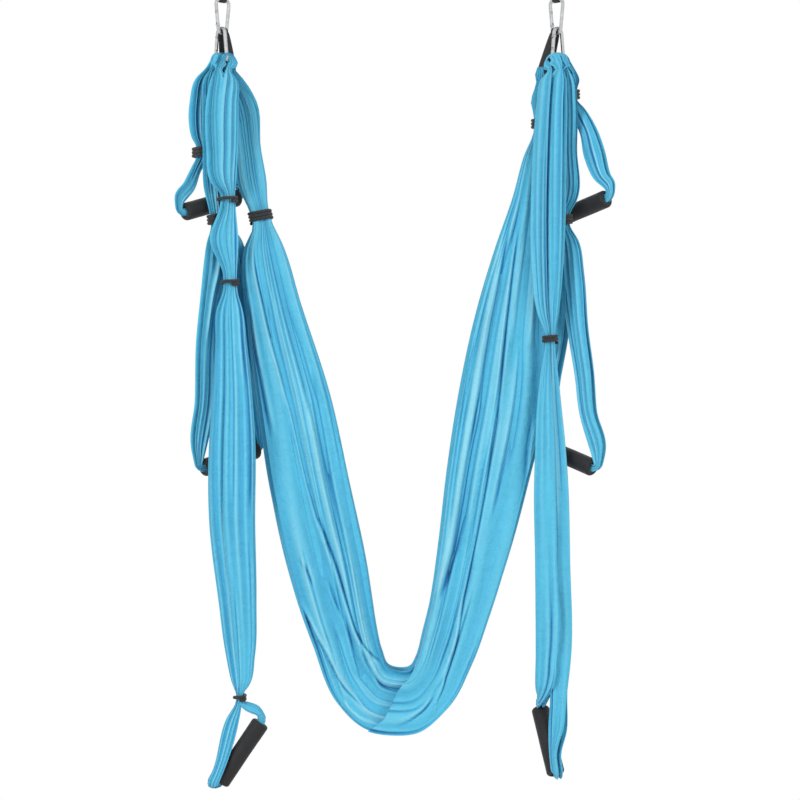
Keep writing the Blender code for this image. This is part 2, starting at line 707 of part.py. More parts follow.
def sling_rings(side, line, spare):
    """Flat eight-sided rings: thick across the turn of the line and wide along the lane's T."""
    rings = []
    for spot, share, angle in line:
        half_wide = (sling_top_width + (sling_foot_width - sling_top_width) * share) / 2 + spare
        half_thick = (sling_top_thickness + (sling_foot_thickness - sling_top_thickness) * share) / 2 + spare
        out = Vector((math.cos(angle), 0.0, math.sin(angle)))
        ring = []
        bevel = half_thick * (1 - half_root)
        for wide, thick in ((half_wide, half_thick - bevel), (half_wide - bevel, half_thick),
                            (bevel - half_wide, half_thick), (-half_wide, half_thick - bevel),
                            (-half_wide, bevel - half_thick), (bevel - half_wide, -half_thick),
                            (half_wide - bevel, -half_thick), (half_wide, bevel - half_thick)):
            place_at = spot + out * thick + Vector((0.0, wide, 0.0))
            ring.append(lane(side, place_at.x, place_at.y, place_at.z))
        rings.append(ring)
    return rings


def sling(side, finish):
    return skinned(f"sling_{side.name}", sling_rings(side, sling_line(side), 0.0), finish, closed=True)


def sling_tunnel(side, finish):
    """The cutter for the sling's way through the hammock: its lower legs and foot, a little larger."""
    line = sling_line(side)
    part = line[arc_steps + 1:]
    part = [line[arc_steps]] + part + [line[0]]
    return skinned(f"sling_way_{side.name}", sling_rings(side, part, sling_clearance), finish)


def hammock_point(x_share, z_share):
    return Vector((x_share * hook_spacing, 0.0, wire_height - z_share * hammock_drop))


def hammock_rings():
    """Folded oval rings between the outer and the inner edge of each row of the path."""
    rings = []
    total = len(hammock_path_shares)
    calm = set(hammock_left_band_rows + hammock_right_band_rows)
    for row, shares in enumerate(hammock_path_shares):
        outer = hammock_point(shares[0], shares[1])
        inner = hammock_point(shares[2], shares[3])
        centre = (outer + inner) / 2 + Vector((0.0, shares[4] * hammock_depth, 0.0))
        turn = Matrix.Rotation(shares[6] * right_angle, 3, "Z")
        first = turn @ ((inner - outer) / 2)
        second = turn @ Vector((0.0, shares[5] * hammock_depth, 0.0))
        near_end = min(row, total - 1 - row)
        fold = hammock_fold_share
        if row in calm:
            fold = 0.0
        elif near_end < end_rows:
            fold = hammock_fold_share * near_end / (2 * end_rows)
        ring = []
        for index in range(ring_points):
            angle = 2 * math.pi * index / ring_points
            wave = math.cos(fold_count * angle + fold_drift * row)
            reach = 1 - fold / 2 + fold * wave
            ring.append(centre + first * math.cos(angle) * reach + second * math.sin(angle) * reach)
        rings.append(ring)
    return rings


def hammock(finish):
    cloth = skinned("hammock_cloth", hammock_rings(), finish)
    for side in (LEFT, RIGHT):
        cut(cloth, sling_tunnel(side, finish))
    return cloth


def hammock_band(name, rows, turns, finish):
    pair = [hammock_path_shares[row] for row in rows]
    ends = []
    for shares in pair:
        middle = (hammock_point(shares[0], shares[1]) + hammock_point(shares[2], shares[3])) / 2
        ends.append(middle + Vector((0.0, shares[4] * hammock_depth, 0.0)))
    span = (hammock_point(pair[0][2], pair[0][3]) - hammock_point(pair[0][0], pair[0][1])) / 2
    ahead = (ends[1] - ends[0]).normalized()
    across = Vector((0.0, 1.0, 0.0))
    along = (span - ahead * span.dot(ahead)).normalized()
    half_along = span.dot(along)
    half_across = max(pair[0][5], pair[1][5]) * hammock_depth
    return band(name, (ends[0] + ends[1]) / 2, (along, across, ahead), (half_along, half_across), turns,
                hammock_band_squareness, finish)


def band(name, centre, axes, halves, turns, squareness, finish):
    """A cord wound as one open coil round a bundle of a rounded oblong section."""
    along, across, ahead = axes
    total = round(turns * cord_points)
    seat = cord_half_thickness + cord_seat
    chord = 1 / math.cos(math.pi / cord_points)
    spots = []
    for step in range(total + 1):
        angle = 2 * math.pi * (step / cord_points - turns / 2)
        cosine = math.cos(angle)
        sine = math.sin(angle)
        reach = (abs(cosine) ** squareness + abs(sine) ** squareness) ** (-1 / squareness)
        out = along * (halves[0] + seat) * cosine * reach + across * (halves[1] + seat) * sine * reach
        spots.append((centre + out * chord + ahead * cord_pitch * angle / (2 * math.pi), out.normalized()))
    rings = []
    for spot, out in spots:
        ring = []
        for corner in range(cord_sides):
            turn = 2 * math.pi * (corner + 0.5) / cord_sides
            ring.append(spot + out * cord_half_thickness * math.cos(turn)
                        + ahead * cord_half_width * math.sin(turn))
        rings.append(ring)
    gap = cord_pitch
    for step in range(total + 1 - cord_points):
        gap = min(gap, (spots[step + cord_points][0] - spots[step][0]).length)
    least_gaps.append((name, gap - 2 * cord_half_width))
    return skinned(name, rings, finish)


Handle = namedtuple("Handle", "side size drop rows grip lean lane_place steep")
HANDLES = (
    Handle(LEFT, "short", short_drop, left_short_shares, left_short_grip_shares,
           left_short_lean_shares, 1, False),
    Handle(LEFT, "medium", medium_drop, left_medium_shares, left_medium_grip_shares, (), 0, False),
    Handle(LEFT, "long", long_drop, left_long_shares, left_long_grip_shares,
           left_long_lean_shares, -1, True),
    Handle(RIGHT, "short", short_drop, right_short_shares, right_short_grip_shares, (), 1, False),
    Handle(RIGHT, "medium", medium_drop, right_medium_shares, right_medium_grip_shares, (), 0, False),
    Handle(RIGHT, "long", long_drop, right_long_shares, right_long_grip_shares,
           right_long_lean_shares, -1, True),
)
BANDS = (
    ("left_short_band", 0, (5, 6), 3.0),
    ("left_medium_band", 1, (5, 6), 3.0),
    ("left_long_upper_band", 2, (5, 6), 1.5),
    ("left_long_middle_band", 2, (8, 9), 1.5),
    ("left_long_lower_band", 2, (18, 19), 1.5),
    ("right_short_band", 3, (2, 3), 3.0),
    ("right_medium_band", 4, (5, 6), 3.0),
    ("right_long_band", 5, (7, 8), 2.0),
)


def grip_place(handle):
    """The grip's centre, its axis toward the outer end, and the loop's level directions."""
    fall, along_s, along_t, turn, tilt = handle.grip
    centre = lane(handle.side, along_s * loop_reach, along_t * loop_reach,
                  lower_height - fall * handle.drop)
    along, across = lane_direction(handle.side, turn)
    angle = tilt * right_angle
    axis = along * math.cos(angle) + Vector((0.0, 0.0, math.sin(angle)))
    return centre, axis, along, across


def row_place(handle, row):
    fall, along_s, along_t = row[:3]
    return lane(handle.side, along_s * loop_reach, along_t * loop_reach, lower_height - fall * handle.drop)


def loop_stations(handle):
    """Places of the closed loop with their level direction across, half width and half depth."""
    side = handle.side
    stations = []
    lane_s = lane_pitch * handle.lane_place
    bend = wire_radius + bight_clearance + bight_thickness / 2
    _, bight_across = lane_direction(side, 0.5)
    bight = []
    for step in range(bight_steps + 1):
        angle = math.pi * step / bight_steps
        spot = lane(side, lane_s, bend * math.cos(angle), lower_height + bend * math.sin(angle))
        bight.append((spot, bight_across, bight_thickness / 2, bight_width / 2, 0.0))
    calm = {row for _, which, rows, _ in BANDS if HANDLES[which] is handle for row in rows}
    strands = {1: [], -1: []}
    for sense in (1, -1):
        neck = lane(side, lane_s + handle.lane_place * neck_spread, sense * bend,
                    lower_height - neck_drop)
        strands[sense].append((neck, bight_across, bight_thickness / 2, bight_width / 2, 0.0))
        for index, row in enumerate(handle.rows):
            along, across = lane_direction(side, row[6])
            spot = row_place(handle, row) + along * sense * row[3] * loop_reach
            late = index + len(handle.lean) - len(handle.rows)
            if late >= 0:
                spot.z -= sense * handle.lean[late] * loop_reach / 2
            fold = 0.0 if index in calm else strand_fold_share
            strands[sense].append((spot, across, row[4] * loop_reach, row[5] * loop_reach, fold))
    centre, axis, along, across = grip_place(handle)
    up = (Vector((0.0, 0.0, 1.0)) - axis * axis.z).normalized()
    places = steep_foot_shares if handle.steep else shallow_foot_shares
    ends = {}
    for sense in (1, -1):
        out = axis * sense
        end = centre + out * grip_length / 2
        feet = places[0] if out.z < 0 else places[1]
        ends[sense] = [(end + (out * past + up * rise) * grip_length, across, foot_half_width,
                        foot_half_depth, 0.0) for past, rise in feet]
        ends[sense].append((end + out * turn_out + up * turn_side, across, cloth_in_core,
                            cloth_in_core, 0.0))
        ends[sense].append((end + out * mouth_out, across, cloth_in_core, cloth_in_core, 0.0))
    stations += bight
    stations += strands[-1] + ends[-1]
    stations.append((centre, across, cloth_in_core, cloth_in_core, 0.0))
    stations += ends[1][::-1] + strands[1][::-1]
    return stations


def handle_loop(handle, finish):
    stations = loop_stations(handle)
    _, axis, _, _ = grip_place(handle)
    total = len(stations)
    rings = []
    for index, (spot, across, half_wide, half_deep, depth) in enumerate(stations):
        before = stations[index - 1][0]
        after = stations[(index + 1) % total][0]
        ahead = (after - before).normalized()
        sideways = across - ahead * across.dot(ahead)
        sideways.normalize()
        along = sideways.cross(ahead).normalized()
        narrow = half_wide * max(abs(ahead.z), half_root)
        if abs(axis.dot(ahead)) > half_root:
            narrow = half_wide
        ring = []
        for corner in range(strand_points):
            angle = 2 * math.pi * corner / strand_points
            fold = 1 + depth * math.cos(strand_folds * angle + strand_drift * index)
            ring.append(spot + along * narrow * math.cos(angle) * fold
                        + sideways * half_deep * math.sin(angle) * fold)
        rings.append(ring)
    return skinned(f"{handle.side.name}_{handle.size}_loop", rings, finish, closed=True)


def round_body(name, profile, sides, finish):
    """A closed profile of radius and height turned about Z."""
    rings = []
    for step in range(sides):
        angle = 2 * math.pi * step / sides
        rings.append([Vector((radius * math.cos(angle), radius * math.sin(angle), level))
                      for radius, level in profile])
    return skinned(name, rings, finish, closed=True)


def grip(handle, finishes):
    """A foam sleeve with rounded ends, and the tube inside it, both on the grip's own axis."""
    centre, axis, _, _ = grip_place(handle)
    half = grip_length / 2
    bend = grip_fillet * (1 - half_root)
    sleeve = [(foam_bore, -half), (grip_radius - grip_fillet, -half), (grip_radius - bend, bend - half),
              (grip_radius, grip_fillet - half), (grip_radius, half - grip_fillet),
              (grip_radius - bend, half - bend), (grip_radius - grip_fillet, half), (foam_bore, half)]
    tube_half = half - core_setback
    tube = [(core_bore, -tube_half), (core_radius, -tube_half), (core_radius, tube_half),
            (core_bore, tube_half)]
    name = f"{handle.side.name}_{handle.size}"
    rotation = axis.to_track_quat("Z", "Y")
    foam = place(round_body(f"{name}_grip", sleeve, grip_sides, finishes["foam"]), centre, rotation)
    core = place(round_body(f"{name}_core", tube, core_sides, finishes["core"]), centre, rotation)
    hold(core, foam)
    return foam


def handle_band(name, handle, rows, turns, finish):
    first = handle.rows[rows[0]]
    second = handle.rows[rows[1]]
    start = row_place(handle, first)
    end = row_place(handle, second)
    ahead = (end - start).normalized()
    along, across = lane_direction(handle.side, (first[6] + second[6]) / 2)
    along = (along - ahead * along.dot(ahead)).normalized()
    across = ahead.cross(along)
    half_along = (first[3] + first[4]) * loop_reach
    half_across = first[5] * loop_reach
    return band(name, (start + end) / 2, (along, across, ahead), (half_along, half_across), turns,
                band_squareness, finish)


def main():
    clear_scene()
    finishes = {
        "steel": material("carabiner steel", (0.62, 0.63, 0.64), 0.22, 1.0),
        "pin": material("pin steel", (0.50, 0.51, 0.52), 0.30, 1.0),
        "spring": material("spring steel", (0.45, 0.46, 0.48), 0.35, 1.0),
        "webbing": material("strap webbing", (0.02, 0.02, 0.022), 0.85, 0.0),
        "cloth": material("blue cloth", (0.09, 0.46, 0.76), 0.60, 0.0),
        "foam": material("black foam", (0.018, 0.018, 0.02), 0.80, 0.0),
        "core": material("core plastic", (0.06, 0.06, 0.065), 0.50, 0.0),
        "cord": material("binding cord", (0.015, 0.015, 0.017), 0.75, 0.0),
    }
    for side in (LEFT, RIGHT):
        strap(side, finishes["webbing"])
        for kind in ("upper", "lower"):
            carabiner(kind, side, finishes)
        sling(side, finishes["webbing"])
    hammock(finishes["cloth"])
    hammock_band("hammock_left_band", hammock_left_band_rows, 3.0, finishes["cord"])
    hammock_band("hammock_right_band", hammock_right_band_rows, 3.0, finishes["cord"])
    for handle in HANDLES:
        handle_loop(handle, finishes["cloth"])
        grip(handle, finishes)
    for name, which, rows, turns in BANDS:
        handle_band(name, HANDLES[which], rows, turns, finishes["cord"])
    for name, gap in least_gaps:
        print(f"least gap of {name} to itself: {gap * 1000:.2f} mm")


main()
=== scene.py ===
"""Looks for an aerial hammock: gathered cloth, webbing, cord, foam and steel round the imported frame.

Metres, Z up, X to the right seen from the front. Height zero is the seat of the left strap on its hook.
"""
import math
from collections import namedtuple

import bmesh
import bpy
import numpy as np
from bpy.props import FloatProperty, FloatVectorProperty, IntProperty, PointerProperty
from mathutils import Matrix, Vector


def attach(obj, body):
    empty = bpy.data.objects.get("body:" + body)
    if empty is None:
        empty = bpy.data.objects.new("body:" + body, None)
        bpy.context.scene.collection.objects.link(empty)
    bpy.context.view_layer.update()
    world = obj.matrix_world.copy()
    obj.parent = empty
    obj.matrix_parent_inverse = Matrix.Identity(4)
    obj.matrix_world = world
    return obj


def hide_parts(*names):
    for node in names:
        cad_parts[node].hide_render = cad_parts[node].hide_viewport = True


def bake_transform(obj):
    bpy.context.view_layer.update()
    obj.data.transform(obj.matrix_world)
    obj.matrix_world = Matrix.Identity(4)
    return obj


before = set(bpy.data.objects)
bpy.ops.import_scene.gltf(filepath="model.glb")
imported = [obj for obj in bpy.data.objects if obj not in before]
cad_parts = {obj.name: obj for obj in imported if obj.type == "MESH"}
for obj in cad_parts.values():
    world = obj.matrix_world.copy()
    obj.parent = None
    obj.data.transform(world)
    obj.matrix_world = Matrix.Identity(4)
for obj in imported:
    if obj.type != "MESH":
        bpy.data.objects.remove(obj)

bl_info = {
    "name": "Aerial hammock",
    "version": (1, 0, 0),
    "blender": (4, 5, 0),
    "location": "3D View > Sidebar > Hammock",
    "description": "Builds the cloth, handles, straps, bands and finishes of an aerial hammock",
    "category": "Add Mesh",
}

# Hammock path: outer x, z and inner x, z by hook spacing and drop; depth place, half depth; turn
hammock_path_shares = (
    (-0.007, 0.072, 0.032, 0.072, 0.20, 0.075, -0.5),
    (-0.012, 0.075, 0.037, 0.075, 0.20, 0.099, -0.5),
    (-0.012, 0.094, 0.037, 0.094, 0.20, 0.100, -0.5),
    (-0.007, 0.109, 0.063, 0.108, 0.24, 0.130, -0.4),
    (0.010, 0.137, 0.096, 0.134, 0.30, 0.160, -0.2),
    (0.034, 0.205, 0.112, 0.199, 0.26, 0.170, 0.0),
    (0.046, 0.254, 0.130, 0.246, 0.20, 0.160, 0.0),
    (0.082, 0.291, 0.136, 0.283, 0.14, 0.110, 0.0),
    (0.090, 0.306, 0.144, 0.298, 0.13, 0.110, 0.0),
    (0.085, 0.341, 0.178, 0.331, 0.09, 0.180, 0.0),
    (0.094, 0.436, 0.235, 0.414, 0.04, 0.260, 0.0),
    (0.115, 0.559, 0.322, 0.537, 0.04, 0.320, 0.0),
    (0.145, 0.675, 0.379, 0.654, 0.04, 0.380, 0.0),
    (0.199, 0.783, 0.431, 0.764, 0.04, 0.440, 0.0),
    (0.268, 0.877, 0.463, 0.857, 0.04, 0.520, 0.0),
    (0.343, 0.958, 0.479, 0.887, 0.04, 0.600, 0.0),
    (0.423, 0.992, 0.496, 0.905, 0.04, 0.680, 0.0),
    (0.507, 0.999, 0.528, 0.910, 0.04, 0.720, 0.0),
    (0.588, 0.995, 0.558, 0.909, 0.04, 0.720, 0.0),
    (0.675, 0.962, 0.579, 0.895, 0.04, 0.660, 0.0),
    (0.744, 0.905, 0.599, 0.861, 0.04, 0.580, 0.0),
    (0.801, 0.835, 0.621, 0.818, 0.04, 0.500, 0.0),
    (0.858, 0.756, 0.645, 0.743, 0.04, 0.440, 0.0),
    (0.915, 0.661, 0.671, 0.641, 0.04, 0.380, 0.0),
    (0.966, 0.559, 0.708, 0.532, 0.06, 0.280, 0.0),
    (0.975, 0.450, 0.759, 0.425, 0.06, 0.220, 0.0),
    (0.975, 0.357, 0.816, 0.338, 0.06, 0.180, 0.0),
    (0.969, 0.280, 0.870, 0.267, 0.08, 0.160, 0.0),
    (0.969, 0.218, 0.903, 0.212, 0.10, 0.140, 0.0),
    (0.969, 0.179, 0.933, 0.177, 0.15, 0.100, 0.0),
    (0.969, 0.159, 0.933, 0.157, 0.16, 0.100, 0.0),
    (0.978, 0.138, 0.924, 0.135, 0.15, 0.130, 0.2),
    (0.984, 0.124, 0.933, 0.123, 0.14, 0.110, 0.4),
    (0.987, 0.114, 0.939, 0.114, 0.14, 0.100, 0.5),
    (0.987, 0.094, 0.939, 0.094, 0.14, 0.099, 0.5),
    (0.982, 0.091, 0.943, 0.091, 0.14, 0.075, 0.5),
)
hammock_left_band_rows = (7, 8)
hammock_right_band_rows = (29, 30)

# Handle rows: fall by the drop; lanes S and T, parting, half width, half depth by the reach; turn
left_short_shares = (
    (0.053, 0.150, 0.080, 0.110, 0.070, 0.070, 0.50),
    (0.122, 0.220, 0.120, 0.140, 0.125, 0.110, 0.50),
    (0.282, 0.240, 0.200, 0.155, 0.145, 0.155, 0.50),
    (0.421, 0.240, 0.220, 0.155, 0.145, 0.155, 0.50),
    (0.526, 0.240, 0.220, 0.120, 0.115, 0.130, 0.50),
    (0.571, 0.240, 0.220, 0.083, 0.078, 0.110, 0.50),
    (0.682, 0.240, 0.220, 0.083, 0.078, 0.110, 0.50),
    (0.745, 0.245, 0.150, 0.240, 0.110, 0.120, 0.50),
    (0.832, 0.255, 0.060, 0.480, 0.120, 0.130, 0.50),
)
left_medium_shares = (
    (0.019, 0.000, 0.080, 0.110, 0.070, 0.030, 0.50),
    (0.045, 0.000, 0.120, 0.140, 0.125, 0.055, 0.50),
    (0.103, -0.010, 0.160, 0.135, 0.130, 0.080, 0.50),
    (0.222, -0.030, 0.190, 0.125, 0.120, 0.085, 0.50),
    (0.323, -0.025, 0.200, 0.105, 0.100, 0.095, 0.50),
    (0.381, -0.060, 0.165, 0.078, 0.073, 0.065, 0.50),
    (0.414, -0.060, 0.135, 0.078, 0.073, 0.065, 0.50),
    (0.449, -0.050, 0.095, 0.135, 0.130, 0.105, 0.50),
    (0.513, -0.035, 0.040, 0.210, 0.180, 0.125, 0.50),
    (0.601, -0.035, 0.020, 0.340, 0.180, 0.125, 0.50),
    (0.715, -0.035, -0.030, 0.490, 0.180, 0.125, 0.50),
    (0.854, -0.038, -0.120, 0.630, 0.140, 0.125, 0.50),
)
left_long_shares = (
    (0.011, -0.150, 0.080, 0.110, 0.070, 0.070, 0.50),
    (0.026, -0.220, 0.110, 0.140, 0.125, 0.110, 0.50),
    (0.060, -0.310, 0.250, 0.155, 0.150, 0.160, 0.50),
    (0.129, -0.310, 0.260, 0.150, 0.145, 0.160, 0.50),
    (0.180, -0.315, 0.220, 0.110, 0.105, 0.140, 0.50),
    (0.192, -0.310, 0.135, 0.068, 0.063, 0.110, 0.50),
    (0.212, -0.315, 0.130, 0.068, 0.063, 0.110, 0.50),
    (0.261, -0.340, 0.240, 0.180, 0.170, 0.150, 0.33),
    (0.312, -0.370, 0.116, 0.062, 0.056, 0.100, 0.22),
    (0.335, -0.375, 0.120, 0.062, 0.056, 0.100, 0.22),
    (0.366, -0.400, 0.146, 0.125, 0.118, 0.120, 0.11),
    (0.413, -0.430, 0.137, 0.150, 0.142, 0.130, 0.00),
    (0.488, -0.490, 0.158, 0.188, 0.178, 0.140, 0.00),
    (0.563, -0.574, 0.240, 0.220, 0.210, 0.140, 0.00),
    (0.671, -0.560, 0.228, 0.218, 0.207, 0.140, 0.00),
    (0.789, -0.550, 0.087, 0.180, 0.170, 0.140, 0.00),
    (0.868, -0.500, -0.029, 0.138, 0.130, 0.130, 0.00),
    (0.912, -0.490, -0.047, 0.075, 0.070, 0.110, 0.00),
    (0.922, -0.480, -0.030, 0.039, 0.034, 0.080, 0.00),
    (0.935, -0.480, -0.030, 0.039, 0.034, 0.080, 0.00),
    (0.952, -0.480, -0.040, 0.185, 0.075, 0.100, 0.00),
)
right_short_shares = (
    (0.053, 0.150, 0.080, 0.110, 0.070, 0.070, 0.50),
    (0.115, 0.215, 0.060, 0.125, 0.115, 0.095, 0.50),
    (0.178, 0.245, 0.063, 0.081, 0.076, 0.075, 0.50),
    (0.268, 0.250, 0.065, 0.081, 0.076, 0.075, 0.50),
    (0.345, 0.270, 0.150, 0.125, 0.118, 0.110, 0.50),
    (0.477, 0.310, 0.220, 0.240, 0.160, 0.140, 0.50),
    (0.644, 0.360, 0.200, 0.380, 0.200, 0.160, 0.50),
    (0.804, 0.410, 0.180, 0.560, 0.150, 0.150, 0.50),
)
right_medium_shares = (
    (0.019, 0.000, 0.080, 0.110, 0.070, 0.030, 0.50),
    (0.045, 0.000, 0.110, 0.140, 0.120, 0.055, 0.50),
    (0.103, 0.000, 0.180, 0.125, 0.120, 0.075, 0.50),
    (0.222, 0.030, 0.190, 0.105, 0.100, 0.085, 0.50),
    (0.348, 0.060, 0.160, 0.105, 0.100, 0.095, 0.50),
    (0.381, 0.050, 0.077, 0.067, 0.062, 0.090, 0.50),
    (0.414, 0.050, 0.075, 0.067, 0.062, 0.090, 0.50),
    (0.457, 0.060, 0.080, 0.170, 0.155, 0.115, 0.50),
    (0.538, 0.090, 0.110, 0.210, 0.190, 0.130, 0.50),
    (0.680, 0.140, 0.140, 0.250, 0.200, 0.135, 0.50),
    (0.791, 0.140, 0.140, 0.395, 0.190, 0.140, 0.50),
    (0.882, 0.140, 0.120, 0.500, 0.160, 0.140, 0.50),
)
right_long_shares = (
    (0.011, -0.150, 0.080, 0.110, 0.070, 0.070, 0.50),
    (0.026, -0.220, 0.080, 0.140, 0.125, 0.110, 0.50),
    (0.060, -0.300, 0.110, 0.150, 0.145, 0.150, 0.50),
    (0.129, -0.340, 0.090, 0.170, 0.164, 0.155, 0.50),
    (0.209, -0.380, 0.090, 0.180, 0.173, 0.150, 0.50),
    (0.305, -0.420, 0.110, 0.150, 0.143, 0.140, 0.39),
    (0.371, -0.400, 0.120, 0.095, 0.090, 0.110, 0.28),
    (0.398, -0.380, 0.152, 0.049, 0.044, 0.085, 0.17),
    (0.416, -0.380, 0.152, 0.049, 0.044, 0.085, 0.17),
    (0.460, -0.380, 0.134, 0.085, 0.080, 0.110, 0.11),
    (0.507, -0.400, 0.145, 0.118, 0.112, 0.120, 0.00),
    (0.570, -0.420, 0.194, 0.147, 0.140, 0.130, 0.00),
    (0.620, -0.440, 0.228, 0.163, 0.155, 0.130, 0.00),
    (0.730, -0.420, 0.245, 0.166, 0.159, 0.130, 0.00),
    (0.862, -0.400, 0.250, 0.170, 0.160, 0.130, 0.00),
    (0.924, -0.390, 0.190, 0.180, 0.120, 0.130, 0.22),
    (0.953, -0.390, 0.140, 0.280, 0.105, 0.120, 0.50),
)

# Grip places: fall by the drop, S and T by the reach, turn and tilt by a right angle
left_short_grip_shares = (0.985, 0.258, 0.025, 0.50, -0.162)
left_medium_grip_shares = (1.003, -0.042, -0.184, 0.50, -0.153)
left_long_grip_shares = (1.009, -0.480, -0.052, 0.00, -0.622)
right_short_grip_shares = (1.019, 0.450, 0.160, 0.50, 0.169)
right_medium_grip_shares = (0.997, 0.140, 0.100, 0.50, -0.190)
right_long_grip_shares = (0.991, -0.405, 0.118, 0.784, -0.622)

# Sling foot places on each side: lanes S and T by the reach, height by the carabiner's length
left_sling_foot_shares = (0.085, -0.225, -0.069)
right_sling_foot_shares = (-0.064, -0.290, -0.413)

# Height between the two strands of a loop's last rows by the reach, the outer one lower
left_short_lean_shares = (0.14,)
left_long_lean_shares = (0.26,)
right_long_lean_shares = (0.10, 0.44)

# Strand places at a grip's lower and upper end, by its length: outward past the end and up square to the axis
shallow_foot_shares = (((0.058, 0.150),), ((0.096, 0.130),))
# The same for the long handles, with a third place toward the front
loop_feet_shares = {
    "left_long": (((-0.104, 0.110, 0.150), (0.042, 0.085, 0.150)), ((0.100, 0.090, 0.0),)),
    "right_long": (((-0.104, 0.185, 0.040), (0.042, 0.150, 0.040)), ((0.150, 0.110, 0.0),)),
}

# A side: the way outward along X, and its hook's place
LEFT = (-1.0, 0.0)
RIGHT = (1.0, 0.618)
HALF_ROOT = math.sqrt(0.5)

# Carabiners: from the middle of the top wire to that of the bottom one, whole length, the wire's radius; heights
# of the upper one's top wire and the lower one's bottom wire; how far the lower one stands beside the upper one
CARABINER_REACH = 0.063
CARABINER_LENGTH = 0.070
WIRE_RADIUS = 0.0035
WIRE_HEIGHT = -0.1462
LOWER_HEIGHT = -0.2625
LINK_SIDE = 0.0031

# Handles: name, side, drop, rows, grip place, leans, lane on the wire, whether the grip hangs steeply. Lane 1 is
# at the back and lane -1 in front.
HANDLES = (
    ("left_short", LEFT, "short_drop", left_short_shares, left_short_grip_shares, left_short_lean_shares,
     1, False),
    ("left_medium", LEFT, "medium_drop", left_medium_shares, left_medium_grip_shares, (), 0, False),
    ("left_long", LEFT, "long_drop", left_long_shares, left_long_grip_shares, left_long_lean_shares, -1, True),
    ("right_short", RIGHT, "short_drop", right_short_shares, right_short_grip_shares, (), 1, False),
    ("right_medium", RIGHT, "medium_drop", right_medium_shares, right_medium_grip_shares, (), 0, False),
    ("right_long", RIGHT, "long_drop", right_long_shares, right_long_grip_shares, right_long_lean_shares,
     -1, True),
)

# Bands: name, handle, the two rows that it lies between, turns of cord
BANDS = (
    ("left_short_band", "left_short", (5, 6), 3.0),
    ("left_medium_band", "left_medium", (5, 6), 3.0),
    ("left_long_upper_band", "left_long", (5, 6), 1.5),
    ("left_long_middle_band", "left_long", (8, 9), 1.5),
    ("left_long_lower_band", "left_long", (18, 19), 1.5),
    ("right_short_band", "right_short", (2, 3), 3.0),
    ("right_medium_band", "right_medium", (5, 6), 3.0),
    ("right_long_band", "right_long", (7, 8), 2.0),
)

# Look of a laid cloth: squareness of the bundle's edge; spread and wander of the places where turns stop;
# number, width, depth and slant of scattered folds; height of the waves that move all layers and of the swells;
# and how round the turn of a hidden layer is
Look = namedtuple("Look", "squareness spread wander folds width depth slant together swell bulb")
CLOTH_LOOK = Look(8.0, 0.26, 16.0, 44, 0.034, 0.060, 0.22, 0.050, 0.045, 4.0)
HANDLE_LOOK = Look(3.6, 0.14, 14.0, 10, 0.085, 0.095, 0.50, 0.050, 0.052, 0.9)

# Each fold of the hammock's front: width, depth, the side its roll lies on, then places along and across the cloth
cloth_fold_shares = (
    (0.035, 0.13, -1, ((0.144, -0.41), (0.20, -0.29), (0.27, -0.07), (0.348, 0.05), (0.388, 0.25), (0.438, 0.40),
                       (0.453, 0.54), (0.484, 0.92))),
    (0.045, 0.08, 1, ((0.185, -0.86), (0.238, -0.81), (0.288, -0.75))),
    (0.060, 0.06, -1, ((0.239, 0.73), (0.274, 0.60), (0.325, 0.50))),
    (0.035, 0.11, 1, ((0.405, -0.98), (0.439, -0.76), (0.456, -0.60), (0.479, -0.45), (0.488, -0.42))),
    (0.035, 0.08, 1, ((0.454, -0.56), (0.466, -0.66), (0.479, -0.82))),
    (0.030, 0.08, -1, ((0.420, 0.22), (0.445, 0.17), (0.463, 0.14), (0.477, 0.0))),
    (0.040, 0.11, -1, ((0.470, 0.06), (0.485, 0.14), (0.495, 0.10), (0.506, 0.0))),
    (0.050, 0.11, -1, ((0.478, 0.52), (0.495, 0.42), (0.512, 0.34))),
    (0.040, 0.12, -1, ((0.477, -0.30), (0.491, -0.34), (0.501, -0.42), (0.509, -0.44))),
    (0.040, 0.10, 1, ((0.468, -0.95), (0.480, -0.84), (0.489, -0.77), (0.499, -0.85))),
    (0.030, 0.07, -1, ((0.396, -0.04), (0.414, 0.03), (0.428, 0.12))),
    (0.035, 0.09, 1, ((0.376, -0.68), (0.388, -0.50), (0.400, -0.47))),
    (0.070, 0.18, 1, ((0.600, 0.71), (0.639, 0.50), (0.677, 0.46), (0.716, 0.45), (0.74, 0.43), (0.79, 0.49),
                      (0.83, 0.55), (0.88, 0.69))),
    (0.035, 0.11, 1, ((0.528, -0.92), (0.535, -0.50), (0.549, -0.30), (0.565, -0.26), (0.604, -0.03), (0.64, 0.0),
                      (0.691, 0.0), (0.736, 0.06), (0.787, 0.12), (0.826, 0.17), (0.88, 0.30))),
    (0.035, 0.08, -1, ((0.69, -0.92), (0.719, -0.76), (0.745, -0.71))),
    (0.080, 0.06, 1, ((0.70, -0.42), (0.745, -0.38), (0.79, -0.33))),
    (0.060, 0.08, 1, ((0.79, -0.20), (0.835, -0.16), (0.88, -0.15))),
    (0.040, 0.09, 1, ((0.513, -0.68), (0.522, -0.40), (0.537, -0.27))),
)

# Edge of the overlap at the seat: places across the cloth and along the path
overlap_edge_shares = ((-1.0, 0.497), (-0.47, 0.505), (0.36, 0.511), (0.62, 0.516), (0.93, 0.530), (1.0, 0.533))

# Rows where a cloth is wider than its table. The hammock's outer edge moves outward by a share of the hook
# spacing. A strand's half width grows by a share of the reach and its middle moves as far toward the hammock, so
# that only its edge there moves.
limb_spread_shares = {9: 0.024, 10: 0.022, 11: 0.009}
strand_spread_shares = {"left_medium": {7: 0.11, 8: 0.13, 9: 0.10, 10: 0.09, 11: 0.09}}
# Rows drawn in: what is left of their parting and half width
strand_draw_shares = {"left_long": {7: 0.70}}

